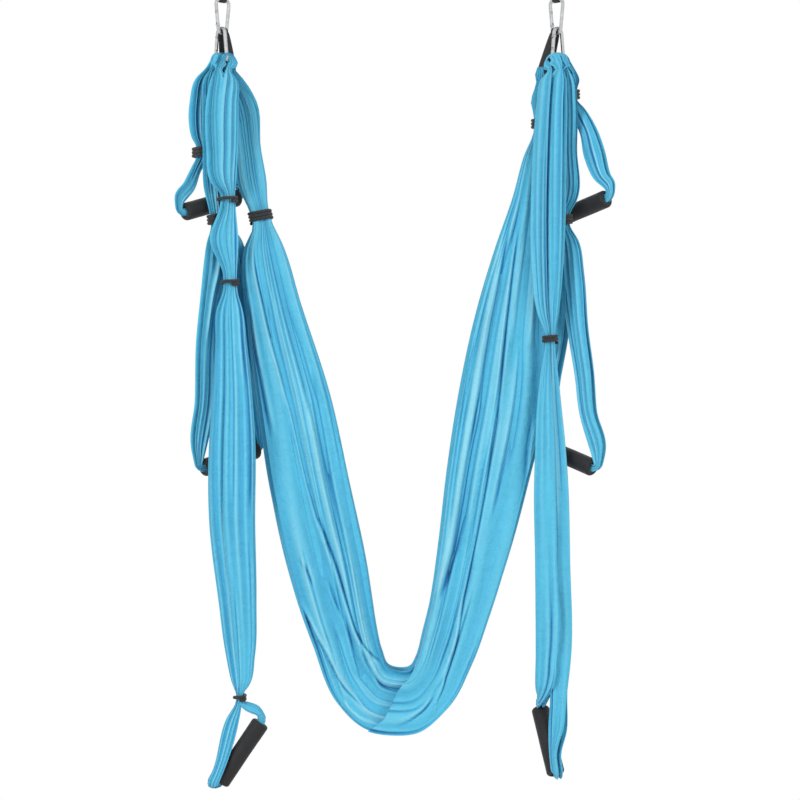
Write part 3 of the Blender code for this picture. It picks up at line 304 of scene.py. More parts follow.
# Folds. Length over which one fades in or out, by the path. By a fold's width: the roll's place and width, the
# crease's width and the place of the pale stripe, a painted highlight on the roll. By a fold's depth: the roll. By
# the crease: the pale stripe. The crease is painted shade, at its full colour on a fold as deep as the crease
# depth.
FOLD_FADE = 0.020
ROLL_PLACE, ROLL_WIDTH, ROLL_SHARE = 2.2, 1.5, 0.70
CREASE_SHADE_WIDTH, CREASE_SHADE_DEPTH = 0.8, 0.11
PAINTED_HIGHLIGHT_PLACE, PAINTED_HIGHLIGHT_SHARE = 2.6, 0.55
# Scattered folds: lengths by the path, the most across, sizes by the look's own
SCATTER_LENGTHS = (0.08, 0.30)
SCATTER_ACROSS = 0.95
SCATTER_SIZES = (0.5, 1.3)

# Layers that show: bulb of their turns, part of a turn over which they fade into the hidden ones, and what is
# left of the spread at the front layer's ends
SHOWN_BULB = 0.9
SHOWN_FADE = 0.12
SHOWN_SPREAD_SHARE = 0.25
# Slow waves that move all layers and swells of the shown ones: number, coarsest and finest; their slant; paces
# at which the ends wander, by the look's own; how much painted highlight a swell's top gets and painted shade its
# trough
TOGETHER_WAVES = (5, 0.8, 2.6)
SWELL_WAVES = (9, 5.0, 13.0)
WAVE_SLANT = 18.0
WANDER_PACES = (0.4, 1.0)
SWELL_SHADE_AND_HIGHLIGHT = 0.15
# The front is calm beside the overlap: share taken off, place and width along the path
CALM_SHARE, CALM_PLACE, CALM_WIDTH = 0.75, 0.535, 0.020
# The overlap: width by the path; by that width, how far it runs back and how far its lift past the edge and its
# press before the edge reach; lift and press in metres
OVERLAP_WIDTH = 0.0095
OVERLAP_RUN_BACK = 2.8
OVERLAP_LIFT, OVERLAP_LIFT_REACH = 0.020, 8
OVERLAP_PRESS, OVERLAP_PRESS_REACH = 0.010, 5

# Handle cloth on the wire: step from lane to lane, gap to the wire, half thickness, half depth of the back and
# middle lanes and of the front one; the neck under it: further step, fall and half width
LANE_STEP = 0.0068
WIRE_GAP = 0.0006
BIGHT_HALF = 0.0075
BIGHT_DEPTH, FRONT_BIGHT_DEPTH = 0.0115, 0.0230
NECK_STEP, NECK_FALL, NECK_HALF = 0.0016, 0.006, 0.0125
# Strands that meet, by their half width: growth, parting at which it starts and over which it comes in. By the
# growth: how far one strand moves behind the other.
CROSS_SHARE, CROSS_FROM, CROSS_OVER, CROSS_APART = 0.38, 1.30, 0.2, 0.55
# Growth of a steep handle's strands by their half width, once more at each row after the third from the end
LOOSE_SHARE, LOOSE_ROWS = 0.3, 3
# Cloth at a grip: half width of its foot and in the tube; places past the tube's mouth and above its axis
FOOT_HALF, CORE_HALF = 0.010, 0.0074
MOUTH_PLACES = ((0.0095, 0.0054), (0.0008, 0.0), (-0.0070, 0.0))

# Webbing. Clearance on the wire. The strap: width of its narrow foot, heights where its legs part over the
# carabiner and where they part into the eye, share of its solid's thickness. The sling: half thickness at its
# crown, radius at its foot, the crown's height over the wire's middle and its place to the side, width and
# thickness at the crown and what they gain and lose to the foot.
WEBBING_GAP = 0.0003
STRAP_FOOT_WIDTH = 0.0135
STRAP_APEX = WIRE_HEIGHT + 0.016
STRAP_JOIN = -0.050
STRAP_THINNER = 0.98
SLING_HALF = 0.0025
SLING_FOOT_RADIUS = 0.009
SLING_SEAT = 0.0093
SLING_BACK = 0.0035
SLING_WIDTH, SLING_WIDER = 0.0085, 0.0145
SLING_THICKNESS, SLING_THINNER = 0.0050, 0.0022
RIBBON_SIDES = 20

# Grips: radius of the bore, rounding of the ends, how far from the bore the unevenness starts, points round, size
# of the flat map; unevenness by the radius
GRIP_BORE, GRIP_BEND, GRIP_EVEN, GRIP_SIDES = 0.0108, 0.005, 0.003, 56
GRIP_MAP = (0.134, 0.1)
GRIP_WAVE, GRIP_WAIST, GRIP_RIPPLE = 0.006, 0.010, 0.004

# Bands: points to a turn and round the cord, pitch, seat on the cloth, the cord's radius and its unevenness,
# squareness of a handle's and of the hammock's windings, turns of the hammock's
BAND_STEPS, CORD_SIDES = 40, 12
BAND_PITCH, BAND_SEAT = 0.0062, 0.0024
CORD_RADIUS, CORD_UNEVEN = 0.0031, 0.0001
HANDLE_BAND_SQUARENESS, HAMMOCK_BAND_SQUARENESS = 4.0, 2.6
HAMMOCK_BAND_TURNS = 3.0

# Grids: rows of the hammock with their even and their real places along the path, closest at the seat, and
# rows of a handle, with those for each metre of drop; columns of a hidden, the front and the back layer; seeds
CLOTH_ROWS = 226
cloth_row_shares = ((0.0, 0.28, 0.38, 0.62, 0.70, 1.0), (0.0, 0.40, 0.47, 0.56, 0.63, 1.0))
HANDLE_ROWS, HANDLE_METRE_ROWS = 110, 200
CLOTH_COLUMNS, HANDLE_COLUMNS = (15, 185, 70), (24, 56, 56)
CLOTH_SEED, HANDLE_SEED = 11, 40

# Stage: floor; camera and half the width that it sees at the hammock; the soft light's strength; each lamp's
# name, place, place that it faces, size and power
FLOOR_RADIUS, FLOOR_MIDDLE = 1.45, (0.309, 0.0, -1.85)
CAMERA_PLACE, CAMERA_HALF_VIEW = (0.3284, -5.0, -0.8869), 0.74
SOFT_LIGHT = 0.60
LAMPS = (
    ("key lamp", (-2.4, -3.7, 0.8), (0.309, 0.0, -0.65), 1.6, 100.0),
    ("fill lamp", (3.0, -3.2, 0.5), (0.309, 0.0, -0.65), 2.6, 52.0),
    ("back lamp", (0.3, 3.6, 0.6), (0.309, 0.0, -0.7), 2.4, 36.0),
)


def eased(knots, values, at):
    """Cubic pieces through every knot: each piece leaves and meets its knots on the slope of their neighbours."""
    slopes = np.gradient(values, knots, axis=0)
    piece = np.clip(np.searchsorted(knots, at, side="right") - 1, 0, len(knots) - 2)
    span = (knots[piece + 1] - knots[piece])[:, None]
    share = ((at - knots[piece]) / span[:, 0])[:, None]
    square, cube = share ** 2, share ** 3
    return ((2 * cube - 3 * square + 1) * values[piece] + (cube - 2 * square + share) * span * slopes[piece]
            + (3 * square - 2 * cube) * values[piece + 1] + (cube - square) * span * slopes[piece + 1])


def along_line(places):
    """Distance along a line of places, from its first one."""
    steps = np.linalg.norm(np.diff(places, axis=0), axis=1)
    return np.concatenate(([0.0], np.cumsum(steps)))


def unit(vectors):
    """Each vector divided by its own length."""
    return vectors / np.maximum(np.linalg.norm(vectors, axis=-1, keepdims=True), 1e-12)


def grid_piece(name, grid, material, flat=(1.0, 1.0), wrap_rows=False, wrap_columns=False, columns=None,
               lengths=None, attributes=None, cap=False):
    """A mesh on a grid of places (rows, columns, 3), with a UV map in metres of the flat cloth."""
    rows, count = grid.shape[:2]
    row = np.arange(rows if wrap_rows else rows - 1)[:, None]
    column = np.arange(count if wrap_columns else count - 1)[None, :]
    after_row, after_column = (row + 1) % rows, (column + 1) % count
    faces = np.stack(np.broadcast_arrays(row * count + column, row * count + after_column,
                                         after_row * count + after_column, after_row * count + column),
                     axis=-1).reshape(-1, 4)
    mesh = bpy.data.meshes.new(name)
    points = grid.reshape(-1, 3)
    mesh.from_pydata(points.tolist(), [], faces.tolist())
    across = np.arange(count + 1) / (count if wrap_columns else count - 1) if columns is None else columns
    down = np.arange(rows + 1) / (rows if wrap_rows else rows - 1) if lengths is None else lengths
    low_u, high_u = across[column + 0 * row], across[column + 1 + 0 * row]
    low_v, high_v = down[row + 0 * column], down[row + 1 + 0 * column]
    corners = np.stack([low_u, low_v, high_u, low_v, high_u, high_v, low_u, high_v], axis=-1)
    corners = corners.reshape(-1, 2) * np.array(flat)
    mesh.uv_layers.new(name="flat").data.foreach_set("uv", corners.ravel())
    for key, values in (attributes or {}).items():
        mesh.attributes.new(key, "FLOAT", "POINT").data.foreach_set("value", values.ravel())
    if cap:
        close_ends(mesh, rows, count)
    mesh.shade_smooth()
    mesh.materials.append(material)
    made = bpy.data.objects.new(name, mesh)
    bpy.context.scene.collection.objects.link(made)
    return made


def close_ends(mesh, rows, count):
    """A face over each open end of a wrapped grid, so that the piece is closed."""
    work = bmesh.new()
    work.from_mesh(mesh)
    work.verts.ensure_lookup_table()
    last = (rows - 1) * count
    work.faces.new([work.verts[index] for index in reversed(range(count))])
    work.faces.new([work.verts[last + index] for index in range(count)])
    bmesh.ops.recalc_face_normals(work, faces=work.faces)
    work.to_mesh(mesh)
    work.free()


def laid_columns(layers, plain, first, last):
    """Columns of a cloth laid to and fro: turns gone through at each, more of them on the shown layers.

    A shown layer has its columns even across the bundle, the others have them crowded at the turns.
    """
    turns = []
    for layer in range(layers):
        if layer in (0, layers - 1):
            shown = last if layer else first
            even = np.arange(shown) / shown
            turns.append(layer + np.arccos(1 - 2 * even) / math.pi)
        else:
            turns.append(layer + np.arange(plain) / plain)
    return np.concatenate(turns + [[float(layers)]])


def carried(path, share):
    """Centre, half width vector and half depth vector at shares of a path."""
    knots, values, start, end = path
    return eased(knots, values, (start + (end - start) * share).ravel()).reshape(*share.shape, -1)


def waves(across, along, random, count, coarsest, finest, slant):
    """A sum of sines over the cloth, each slanted by its own amount and set off by its own phase."""
    field = 0.0
    for _ in range(count):
        turns = 2 * math.pi * np.round(random.uniform(-slant, slant) / (2 * math.pi))
        field = field + np.sin(random.uniform(coarsest, finest) * across + turns * along
                               + random.uniform(0, 2 * math.pi))
    return field * math.sqrt(2 / count)


def scattered_folds(random, look):
    """Folds at random places, each a line of three places that drifts across as it runs along the cloth."""
    folds = []
    for _ in range(look.folds):
        length = random.uniform(*SCATTER_LENGTHS)
        start = random.uniform(0.0, 1.0 - length)
        across = random.uniform(-SCATTER_ACROSS, SCATTER_ACROSS)
        drifts = random.uniform(-look.slant, look.slant, 2) * length
        size = random.uniform(*SCATTER_SIZES)
        folds.append((look.width * size, look.depth * size, random.choice((-1, 1)),
                      ((start, across), (start + length / 2, across + drifts[0]),
                       (start + length, across + drifts[0] + drifts[1]))))
    return folds


def folded(along, across, folds):
    """Relief of folds whose lines run through chosen places along and across the cloth, and their painted shade.

    Each is a sharp valley, an exponential of the distance from its line, with a rounded roll beside it on its
    own side, a bell of the distance from a line some widths away. Both fade in and out along the line. The
    crease is a bell in the valley less a smaller bell where the roll catches the light.
    """
    relief, crease = 0.0 * across, 0.0 * across
    for width, depth, side, places in folds:
        line = np.array(places)
        first, last = line[0, 0], line[-1, 0]
        fade = min(FOLD_FADE, (last - first) / 3)
        there = np.clip((along - first) / fade, 0.0, 1.0) * np.clip((last - along) / fade, 0.0, 1.0)
        off = (across - np.interp(along, line[:, 0], line[:, 1])) / width
        roll = ROLL_SHARE * np.exp(-((off * side - ROLL_PLACE) / ROLL_WIDTH) ** 2)
        # painted highlight: a pale stripe where the roll catches the light
        pale = PAINTED_HIGHLIGHT_SHARE * np.exp(-((off * side - PAINTED_HIGHLIGHT_PLACE) / ROLL_WIDTH) ** 2)
        relief += there * depth * (roll - np.exp(-np.abs(off)))
        # painted shade in the crease's valley, less the painted highlight stripe on the roll
        crease += there * depth / CREASE_SHADE_DEPTH * (np.exp(-(off / CREASE_SHADE_WIDTH) ** 2) - pale)
    return relief, crease


def laid_cloth(path, along, turns, layers, seed, look, folds=(), overlap=None):
    """Places of a gathered cloth, and the painted shade of its creases and troughs, below zero for a painted
    highlight on its rolls and swell tops.

    Across the bundle the cloth goes to and fro as the cosine of the turns. From front to back it goes as the
    turns plus a share, the bulb, of the sine of the whole turns: a bulb near one keeps a layer level and crosses
    over at its ends, and a larger one makes each turn swell past its layers. The bundle's edge is a rounded
    oblong, and each turn stops a little short of it by a share that wanders along the path. Slow waves move all
    layers as one. The layers that show have soft swells and scattered folds, and the front one has its own
    folds as well.
    """
    random = np.random.default_rng(seed)
    along = along[:, None]
    bulb = np.where((turns < 1) | (turns > layers - 1), SHOWN_BULB, look.bulb)
    depth = -1 + 2 * (turns + bulb * np.sin(2 * math.pi * turns) / (2 * math.pi) + 0.5) / (layers + 1)
    edge = (1 - np.abs(depth) ** look.squareness) ** (1 / look.squareness)
    phase = random.uniform(0, 2 * math.pi, (1, layers + 1))
    paces = random.uniform(*WANDER_PACES, (1, layers + 1))
    pace = 2 * math.pi * np.round(paces * look.wander / (2 * math.pi))
    ends = 1 - look.spread * (0.5 + 0.5 * np.sin(phase + pace * along))
    middle = layers // 2
    ends[:, middle:middle + 2] = 1.0
    ends[:, :2] = 1 - SHOWN_SPREAD_SHARE * (1 - ends[:, :2])
    turn = np.minimum(turns.astype(int), layers - 1)
    share = turns - turn
    across = -np.cos(math.pi * turns) * edge * (ends[:, turn] * (1 - share) + ends[:, turn + 1] * share)
    side = np.sign(depth)[None, :]
    front = np.clip((1.0 - turns) / SHOWN_FADE, 0.0, 1.0)[None, :]
    shown = np.clip(front + np.clip((turns - layers + 1.0) / SHOWN_FADE, 0.0, 1.0), 0.0, 1.0)
    together = waves(across, along, random, *TOGETHER_WAVES, WAVE_SLANT)
    swell = waves(across, along, random, *SWELL_WAVES, WAVE_SLANT)
    calm = 1 - CALM_SHARE * bool(folds) * front * np.exp(-((along - CALM_PLACE) / CALM_WIDTH) ** 2)
    small_roll, small_fold_shade_and_highlight = folded(along, across, scattered_folds(random, look))
    roll, crease = folded(along, across, folds)
    relief = calm * (look.swell * swell + small_roll) + front * roll
    share_along = along + 0 * across
    lift = 0.0
    if overlap is not None:
        shift, lift = overlap(along, across, front)
        share_along = share_along + shift
    frames = carried(path, share_along)
    centre, first, second = frames[..., 0:3], frames[..., 3:6], frames[..., 6:9]
    half = np.linalg.norm(first, axis=-1)
    push = half * (look.together * together + side * shown * relief) - lift
    places = centre + first * across[..., None] + second * depth[None, :, None] + unit(second) * push[..., None]
    # painted shade and highlight: the second value darkens the blue in creases and swell troughs and, below zero,
    # lightens it on rolls and swell tops
    return places, np.clip(shown * calm * (small_fold_shade_and_highlight - SWELL_SHADE_AND_HIGHLIGHT * swell) + front * crease, -1.0, 1.0)


def seat_overlap(along, across, front):
    """The right limb's front laid over the left one's at the seat, as a pleat across the path.

    Near its edge the place along the path runs back on itself by a bell of the distance times the distance,
    while the cloth past the edge is lifted toward the front and the cloth before it pressed in.
    """
    edge = np.array(overlap_edge_shares)
    off = (along - np.interp(across, edge[:, 0], edge[:, 1])) / OVERLAP_WIDTH
    past = 0.5 + 0.5 * np.tanh(2 * off)
    shift = -OVERLAP_RUN_BACK * OVERLAP_WIDTH * off * np.exp(-off ** 2) * front
    lifted = OVERLAP_LIFT * past * np.exp(-(off / OVERLAP_LIFT_REACH) ** 2)
    pressed = OVERLAP_PRESS * (1 - past) * np.exp(-(off / OVERLAP_PRESS_REACH) ** 2)
    return shift, (lifted - pressed) * front


def lane(side, along_s, along_t, height):
    """A world place from a side's lane places, measured from the lower carabiner's bottom wire."""
    sign, middle = side
    across = along_t + LINK_SIDE
    return np.array([middle + sign * (along_s + across) * HALF_ROOT, (along_s - across) * HALF_ROOT, height])


def lane_direction(side, turn):
    """Level directions along and across a handle, turned from the front by a share of a right angle."""
    angle = turn * math.pi / 2
    along = np.array([side[0] * math.cos(angle), -math.sin(angle), 0.0])
    across = np.array([side[0] * math.sin(angle), math.cos(angle), 0.0])
    return along, across


def hammock_path(sizes):
    """Centre, half width vector toward the inner edge and half depth vector along the path, by its length."""
    table = np.array(hammock_path_shares)
    spread = np.array([limb_spread_shares.get(row, 0.0) for row in range(len(table))])
    outer = np.stack([(table[:, 0] - spread) * sizes.hook_spacing, 0 * table[:, 0],
                      WIRE_HEIGHT - table[:, 1] * sizes.hammock_drop], axis=1)
    inner = np.stack([table[:, 2] * sizes.hook_spacing, 0 * table[:, 0],
                      WIRE_HEIGHT - table[:, 3] * sizes.hammock_drop], axis=1)
    turn = table[:, 6] * math.pi / 2
    half = (inner - outer) / 2
    first = np.stack([half[:, 0] * np.cos(turn), half[:, 0] * np.sin(turn), half[:, 2]], axis=1)
    deep = table[:, 5] * sizes.hammock_depth
    second = np.stack([-deep * np.sin(turn), deep * np.cos(turn), 0 * deep], axis=1)
    centre = (outer + inner) / 2
    centre[:, 1] += table[:, 4] * sizes.hammock_depth
    frames = np.hstack([centre, first, second])
    knots = along_line(centre)
    return knots, frames, 0.0, knots[-1]


def row_place(handle, drop, row, reach):
    """The middle between a handle's strands at a row of its table."""
    return lane(handle[1], row[1] * reach, row[2] * reach, LOWER_HEIGHT - row[0] * drop)


def grip_place(handle, sizes):
    """The grip's centre, its axis toward the outer end, and the loop's level direction across."""
    fall, along_s, along_t, turn, tilt = handle[4]
    drop = getattr(sizes, handle[2])
    centre = lane(handle[1], along_s * sizes.loop_reach, along_t * sizes.loop_reach, LOWER_HEIGHT - fall * drop)
    along, across = lane_direction(handle[1], turn)
    angle = tilt * math.pi / 2
    return centre, along * math.cos(angle) + np.array([0.0, 0.0, math.sin(angle)]), across


def handle_stations(handle, sizes):
    """Places round a handle's closed loop, each with its level direction across, half width and half depth."""
    name, side, drop_name, rows, _, leans, lane_place, steep = handle
    drop, reach = getattr(sizes, drop_name), sizes.loop_reach
    lane_s = LANE_STEP * lane_place
    bend = WIRE_RADIUS + WIRE_GAP + BIGHT_HALF
    _, bight_across = lane_direction(side, 0.5)
    bight_depth = FRONT_BIGHT_DEPTH if lane_place < 0 else BIGHT_DEPTH
    stations = []
    for step in range(5):
        angle = math.pi * step / 4
        spot = lane(side, lane_s, bend * math.cos(angle), LOWER_HEIGHT + bend * math.sin(angle))
        stations.append((spot, bight_across, BIGHT_HALF, bight_depth))
    strands = {1: [], -1: []}
    for sense in (1, -1):
        neck = lane(side, lane_s + lane_place * NECK_STEP, sense * bend, LOWER_HEIGHT - NECK_FALL)
        strands[sense].append((neck, bight_across, NECK_HALF, bight_depth))
        for index, row in enumerate(rows):
            along, across = lane_direction(side, row[6])
            draw = strand_draw_shares.get(name, {}).get(index, 1.0)
            part, half = row[3] * draw, row[4] * draw
            crossed = min(1.0, max(0.0, (CROSS_FROM * half - part) / (CROSS_OVER * half)))
            wider = CROSS_SHARE * half * crossed
            loose = LOOSE_SHARE * max(0, index + LOOSE_ROWS - len(rows)) * half if steep else 0.0
            spread = strand_spread_shares.get(name, {}).get(index, 0.0)
            spot = row_place(handle, drop, row, reach) + along * sense * (part - wider - loose) * reach
            spot = spot + (across * sense * wider * CROSS_APART - along * spread) * reach
            late = index + len(leans) - len(rows)
            if late >= 0:
                spot[2] -= sense * leans[late] * reach / 2
            strands[sense].append((spot, across, (half + loose + wider + spread) * reach, row[5] * reach))
    centre, axis, across = grip_place(handle, sizes)
    up = unit(np.array([0.0, 0.0, 1.0]) - axis * axis[2])
    places = loop_feet_shares.get(name, shallow_foot_shares)
    ends = {}
    length = sizes.grip_length
    for sense in (1, -1):
        out = axis * sense
        end = centre + out * length / 2
        feet = places[0] if out[2] < 0 else places[1]
        ends[sense] = [(end + (out * past + up * rise - across * (front[0] if front else 0.0)) * length,
                        across, FOOT_HALF, FOOT_HALF) for past, rise, *front in feet]
        ends[sense] += [(end + out * past + up * rise, across, CORE_HALF, CORE_HALF)
                        for past, rise in MOUTH_PLACES]
    stations += strands[-1] + ends[-1]
    stations.append((centre, across, CORE_HALF, CORE_HALF))
    return stations + ends[1][::-1] + strands[1][::-1]


def handle_path(handle, sizes):
    """Centre, half width vector and half depth vector round the closed loop, by its length."""
    stations = handle_stations(handle, sizes)
    _, axis, _ = grip_place(handle, sizes)
    spots = np.array([station[0] for station in stations])
    across = np.array([station[1] for station in stations])
    wide = np.array([station[2] for station in stations])
    deep = np.array([station[3] for station in stations])
    ahead = unit(np.roll(spots, -1, axis=0) - np.roll(spots, 1, axis=0))
    sideways = unit(across - ahead * np.sum(across * ahead, axis=1, keepdims=True))
    along = unit(np.cross(sideways, ahead))
    narrow = wide * np.maximum(np.abs(ahead[:, 2]), HALF_ROOT)
    narrow = np.where(np.abs(ahead @ axis) > HALF_ROOT, wide, narrow)
    frames = np.hstack([spots, along * narrow[:, None], sideways * deep[:, None]])
    wrapped = np.vstack([frames[-3:], frames, frames[:4]])
    knots = along_line(wrapped[:, :3])
    return knots, wrapped, knots[3], knots[3 + len(frames)]


class Nodes:
    """A material's node tree, built by naming a node and what goes into its sockets."""

    def __init__(self, name):
        self.material = bpy.data.materials.new(name)
        self.material.use_nodes = True
        self.tree = self.material.node_tree
        self.shader = self.tree.nodes["Principled BSDF"]

    def add(self, kind, inputs=None, **settings):
        """A new node with its inputs put in and its settings made."""
        node = self.tree.nodes.new("ShaderNode" + kind)
        for key, value in settings.items():
            setattr(node, key, value)
        for key, value in (inputs or {}).items():
            self.put(node, key, value)
        return node

    def put(self, node, key, value):
        """A link into a socket, or a constant on it."""
        socket = node.inputs[key]
        if isinstance(value, bpy.types.NodeSocket):
            self.tree.links.new(value, socket)
        else:
            socket.default_value = value

    def shade(self, **inputs):
        """What goes into the shader's own sockets, by their names with underscores for spaces."""
        for key, value in inputs.items():
            self.put(self.shader, key.replace("_", " "), value)

    def place(self, own=True, stretch=(1.0, 1.0, 1.0), turn=0.0):
        """Places on the piece's own flat map, or on the object's own axes, stretched and turned."""
        if own:
            source = self.add("UVMap", uv_map="flat").outputs["UV"]
        else:
            source = self.add("TexCoord").outputs["Object"]
        return self.add("Mapping", {"Vector": source, "Scale": stretch, "Rotation": (0.0, 0.0, turn)}).outputs[0]

    def noise(self, place, scale, detail=3.0, rough=0.55, distortion=0.0):
        """Cloudy values from zero to one."""
        return self.add("TexNoise", {"Vector": place, "Scale": scale, "Detail": detail, "Roughness": rough,
                                     "Distortion": distortion}).outputs["Fac"]

    def wave(self, place, scale, direction="X", distortion=0.0):
        """Bands from zero to one, stacked along a direction."""
        return self.add("TexWave", {"Vector": place, "Scale": scale, "Distortion": distortion},
                        bands_direction=direction).outputs["Fac"]

    def sum(self, first, second, share=1.0):
        """The first value plus a share of the second."""
        return self.add("Math", {0: second, 1: share, 2: first}, operation="MULTIPLY_ADD").outputs[0]

    def span(self, value, low, high, bottom=0.0, top=1.0):
        """The value's way from low to high, carried over to bottom to top."""
        return self.add("MapRange", {"Value": value, "From Min": low, "From Max": high, "To Min": bottom,
                                     "To Max": top}).outputs[0]

    def blend(self, share, first, second):
        """The first colour at a share of zero and the second at one."""
        node = self.add("Mix", data_type="RGBA")
        self.put(node, 0, share)
        for index, colour in ((6, first), (7, second)):
            self.put(node, index, colour if isinstance(colour, bpy.types.NodeSocket) else (*colour[:3], 1.0))
        return node.outputs[2]

    def bump(self, height, strength, distance, under=None):
        """A normal from heights, on top of another one where it is given."""
        inputs = {"Height": height, "Strength": strength, "Distance": distance}
        if under is not None:
            inputs["Normal"] = under
        return self.add("Bump", inputs).outputs[0]


def tone(colour, factor):
    """The colour made lighter or darker by a factor."""
    return tuple(min(1.0, part * factor) for part in colour[:3])


def cloth_material(colours):
    """Thin knitted nylon: ribs, courses, crumples along the gathers, a fine mottle, painted crease shade and roll
    highlight.
    """
    n = Nodes("blue nylon cloth")
    flat = n.place()
    crumple = n.noise(n.place(stretch=(38.0, 7.0, 1.0)), 1.0, 4.0, 0.6, 0.6)
    crease = n.noise(n.place(stretch=(16.0, 26.0, 1.0), turn=0.5), 1.0, 5.0, 0.65, 1.2)
    mottle = n.noise(n.place(stretch=(120.0, 80.0, 1.0), turn=0.4), 1.0, 4.0, 0.7, 0.9)
    streak = n.noise(n.place(stretch=(260.0, 5.0, 1.0)), 1.0, 2.0, 0.5)
    fine = n.noise(flat, 240.0, 2.0, 0.5)
    knit = n.sum(n.wave(flat, 190.0, "X"), n.wave(flat, 150.0, "Y"), 0.6)
    painted_shade_and_highlight = n.add("Attribute", attribute_name="painted_shade_and_highlight").outputs["Fac"]
    base = n.blend(n.span(crumple, 0.3, 0.7), tone(colours.cloth, 0.95), tone(colours.cloth, 1.06))
    base = n.blend(n.span(streak, 0.35, 0.7, 0.0, 0.20), base, tone(colours.cloth, 1.12))
    base = n.blend(n.span(mottle, 0.48, 0.72, 0.0, 0.35), base, tone(colours.cloth, 0.72))
    # painted shade: deeper blue in creases and swell troughs
    base = n.blend(n.span(painted_shade_and_highlight, 0.0, 0.8, 0.0, 0.90), base, colours.cloth_painted_crease_shade)
    # painted highlight: paler blue on rolls and swell tops
    base = n.blend(n.span(painted_shade_and_highlight, -0.7, 0.0, 0.80, 0.0), base, colours.cloth_painted_roll_highlight)
    large = n.bump(n.sum(n.sum(crumple, crease, 0.95), mottle, 0.25), 0.80, 0.0050)
    small = n.bump(n.sum(knit, fine, 0.8), 0.30, 0.0002, large)
    n.shade(Base_Color=base, Normal=small, Roughness=n.span(fine, 0.2, 0.8, 0.50, 0.66))
    n.shade(Sheen_Weight=0.25, Sheen_Roughness=0.45, Sheen_Tint=(0.75, 0.92, 1.0, 1.0), Specular_IOR_Level=0.35)
    return n.material


def webbing_material(colours):
    """Black nylon webbing: ribs across, a fine weave along, worn a little paler in patches."""
    n = Nodes("black nylon webbing")
    flat = n.place()
    ribs = n.wave(flat, 250.0, "Y")
    lines = n.wave(flat, 330.0, "X", 0.6)
    fuzz = n.noise(flat, 700.0, 3.0, 0.6)
    patch = n.noise(n.place(own=False), 35.0, 3.0)
    base = n.blend(n.span(ribs, 0.3, 0.9, 0.0, 0.6), tone(colours.webbing, 0.7), tone(colours.webbing, 1.6))
    base = n.blend(n.span(patch, 0.5, 0.8, 0.0, 0.4), base, tone(colours.webbing, 2.2))
    normal = n.bump(n.sum(n.sum(ribs, lines, 0.5), fuzz, 0.4), 0.6, 0.0004)
    n.shade(Base_Color=base, Normal=normal, Roughness=n.span(fuzz, 0.3, 0.7, 0.68, 0.9))
    n.shade(Sheen_Weight=0.2, Sheen_Roughness=0.5, Specular_IOR_Level=0.3)
    return n.material


def cord_material(colours):
    """Black elastic cord: a braided sheath in two slanting runs, paler on its crowns."""
    n = Nodes("black elastic cord")
    one = n.wave(n.place(turn=0.7), 420.0, "X")
    two = n.wave(n.place(turn=-0.7), 420.0, "X")
    fuzz = n.noise(n.place(own=False), 900.0, 3.0, 0.6)
    base = n.blend(n.span(n.sum(one, two), 0.4, 1.8, 0.0, 1.0), tone(colours.cord, 0.6), tone(colours.cord, 1.8))
    normal = n.bump(n.sum(n.sum(one, two), fuzz, 0.5), 0.5, 0.0003)
    n.shade(Base_Color=base, Normal=normal, Roughness=n.span(fuzz, 0.3, 0.7, 0.6, 0.85), Sheen_Weight=0.15)
    return n.material


def foam_material(colours):
    """Black closed-cell foam: fine open pores on a moulded skin, scuffed paler in places."""
    n = Nodes("black foam")
    place = n.place(own=False)
    pores = n.add("TexVoronoi", {"Vector": place, "Scale": 620.0}, feature="F1").outputs["Distance"]
    grain = n.noise(place, 1400.0, 2.0, 0.5)
    scuff = n.noise(place, 26.0, 4.0, 0.6)
    base = n.blend(n.span(scuff, 0.45, 0.75, 0.0, 0.7), colours.foam, tone(colours.foam, 2.0))
    # painted shade: the foam is darker in its pores
    base = n.blend(n.span(pores, 0.0, 0.25, 0.8, 0.0), base, tone(colours.foam, 0.35))
    normal = n.bump(n.sum(n.span(pores, 0.0, 0.35), grain, 0.4), 0.55, 0.0005)
    n.shade(Base_Color=base, Normal=normal, Roughness=n.span(scuff, 0.3, 0.7, 0.62, 0.82))
    n.shade(Sheen_Weight=0.1, Specular_IOR_Level=0.4)
    return n.material


def steel_material(colours):
    """Zinc-plated steel wire: a bright finish with faint drawn lines, rubbed duller in patches."""
    n = Nodes("plated steel")
    place = n.place(own=False)
    patch = n.noise(place, 160.0, 4.0, 0.6)
    scratch = n.noise(n.place(own=False, stretch=(2600.0, 2600.0, 160.0)), 1.0, 2.0, 0.6)
    base = n.blend(n.span(patch, 0.35, 0.7), tone(colours.steel, 0.88), tone(colours.steel, 1.08))
    n.shade(Base_Color=base, Roughness=n.span(n.sum(patch, scratch, 0.6), 0.4, 1.2, 0.16, 0.42),
            Normal=n.bump(scratch, 0.12, 0.0001))
    # painted reflection: the dark edge tint darkens the steel toward its grazing edges
    n.shade(Metallic=1.0, Specular_Tint=(0.22, 0.22, 0.24, 1.0))
    return n.material


def tube_material(colours):
    """Dark moulded plastic for the tubes inside the grips: satin, with a fine turned grain."""
    n = Nodes("dark plastic tube")
    place = n.place(own=False)
    grain = n.noise(place, 700.0, 3.0, 0.5)
    base = n.blend(n.span(grain, 0.3, 0.7), tone(colours.foam, 1.6), tone(colours.foam, 2.8))
    n.shade(Base_Color=base, Roughness=n.span(grain, 0.3, 0.7, 0.38, 0.55), Normal=n.bump(grain, 0.2, 0.0001))
    return n.material


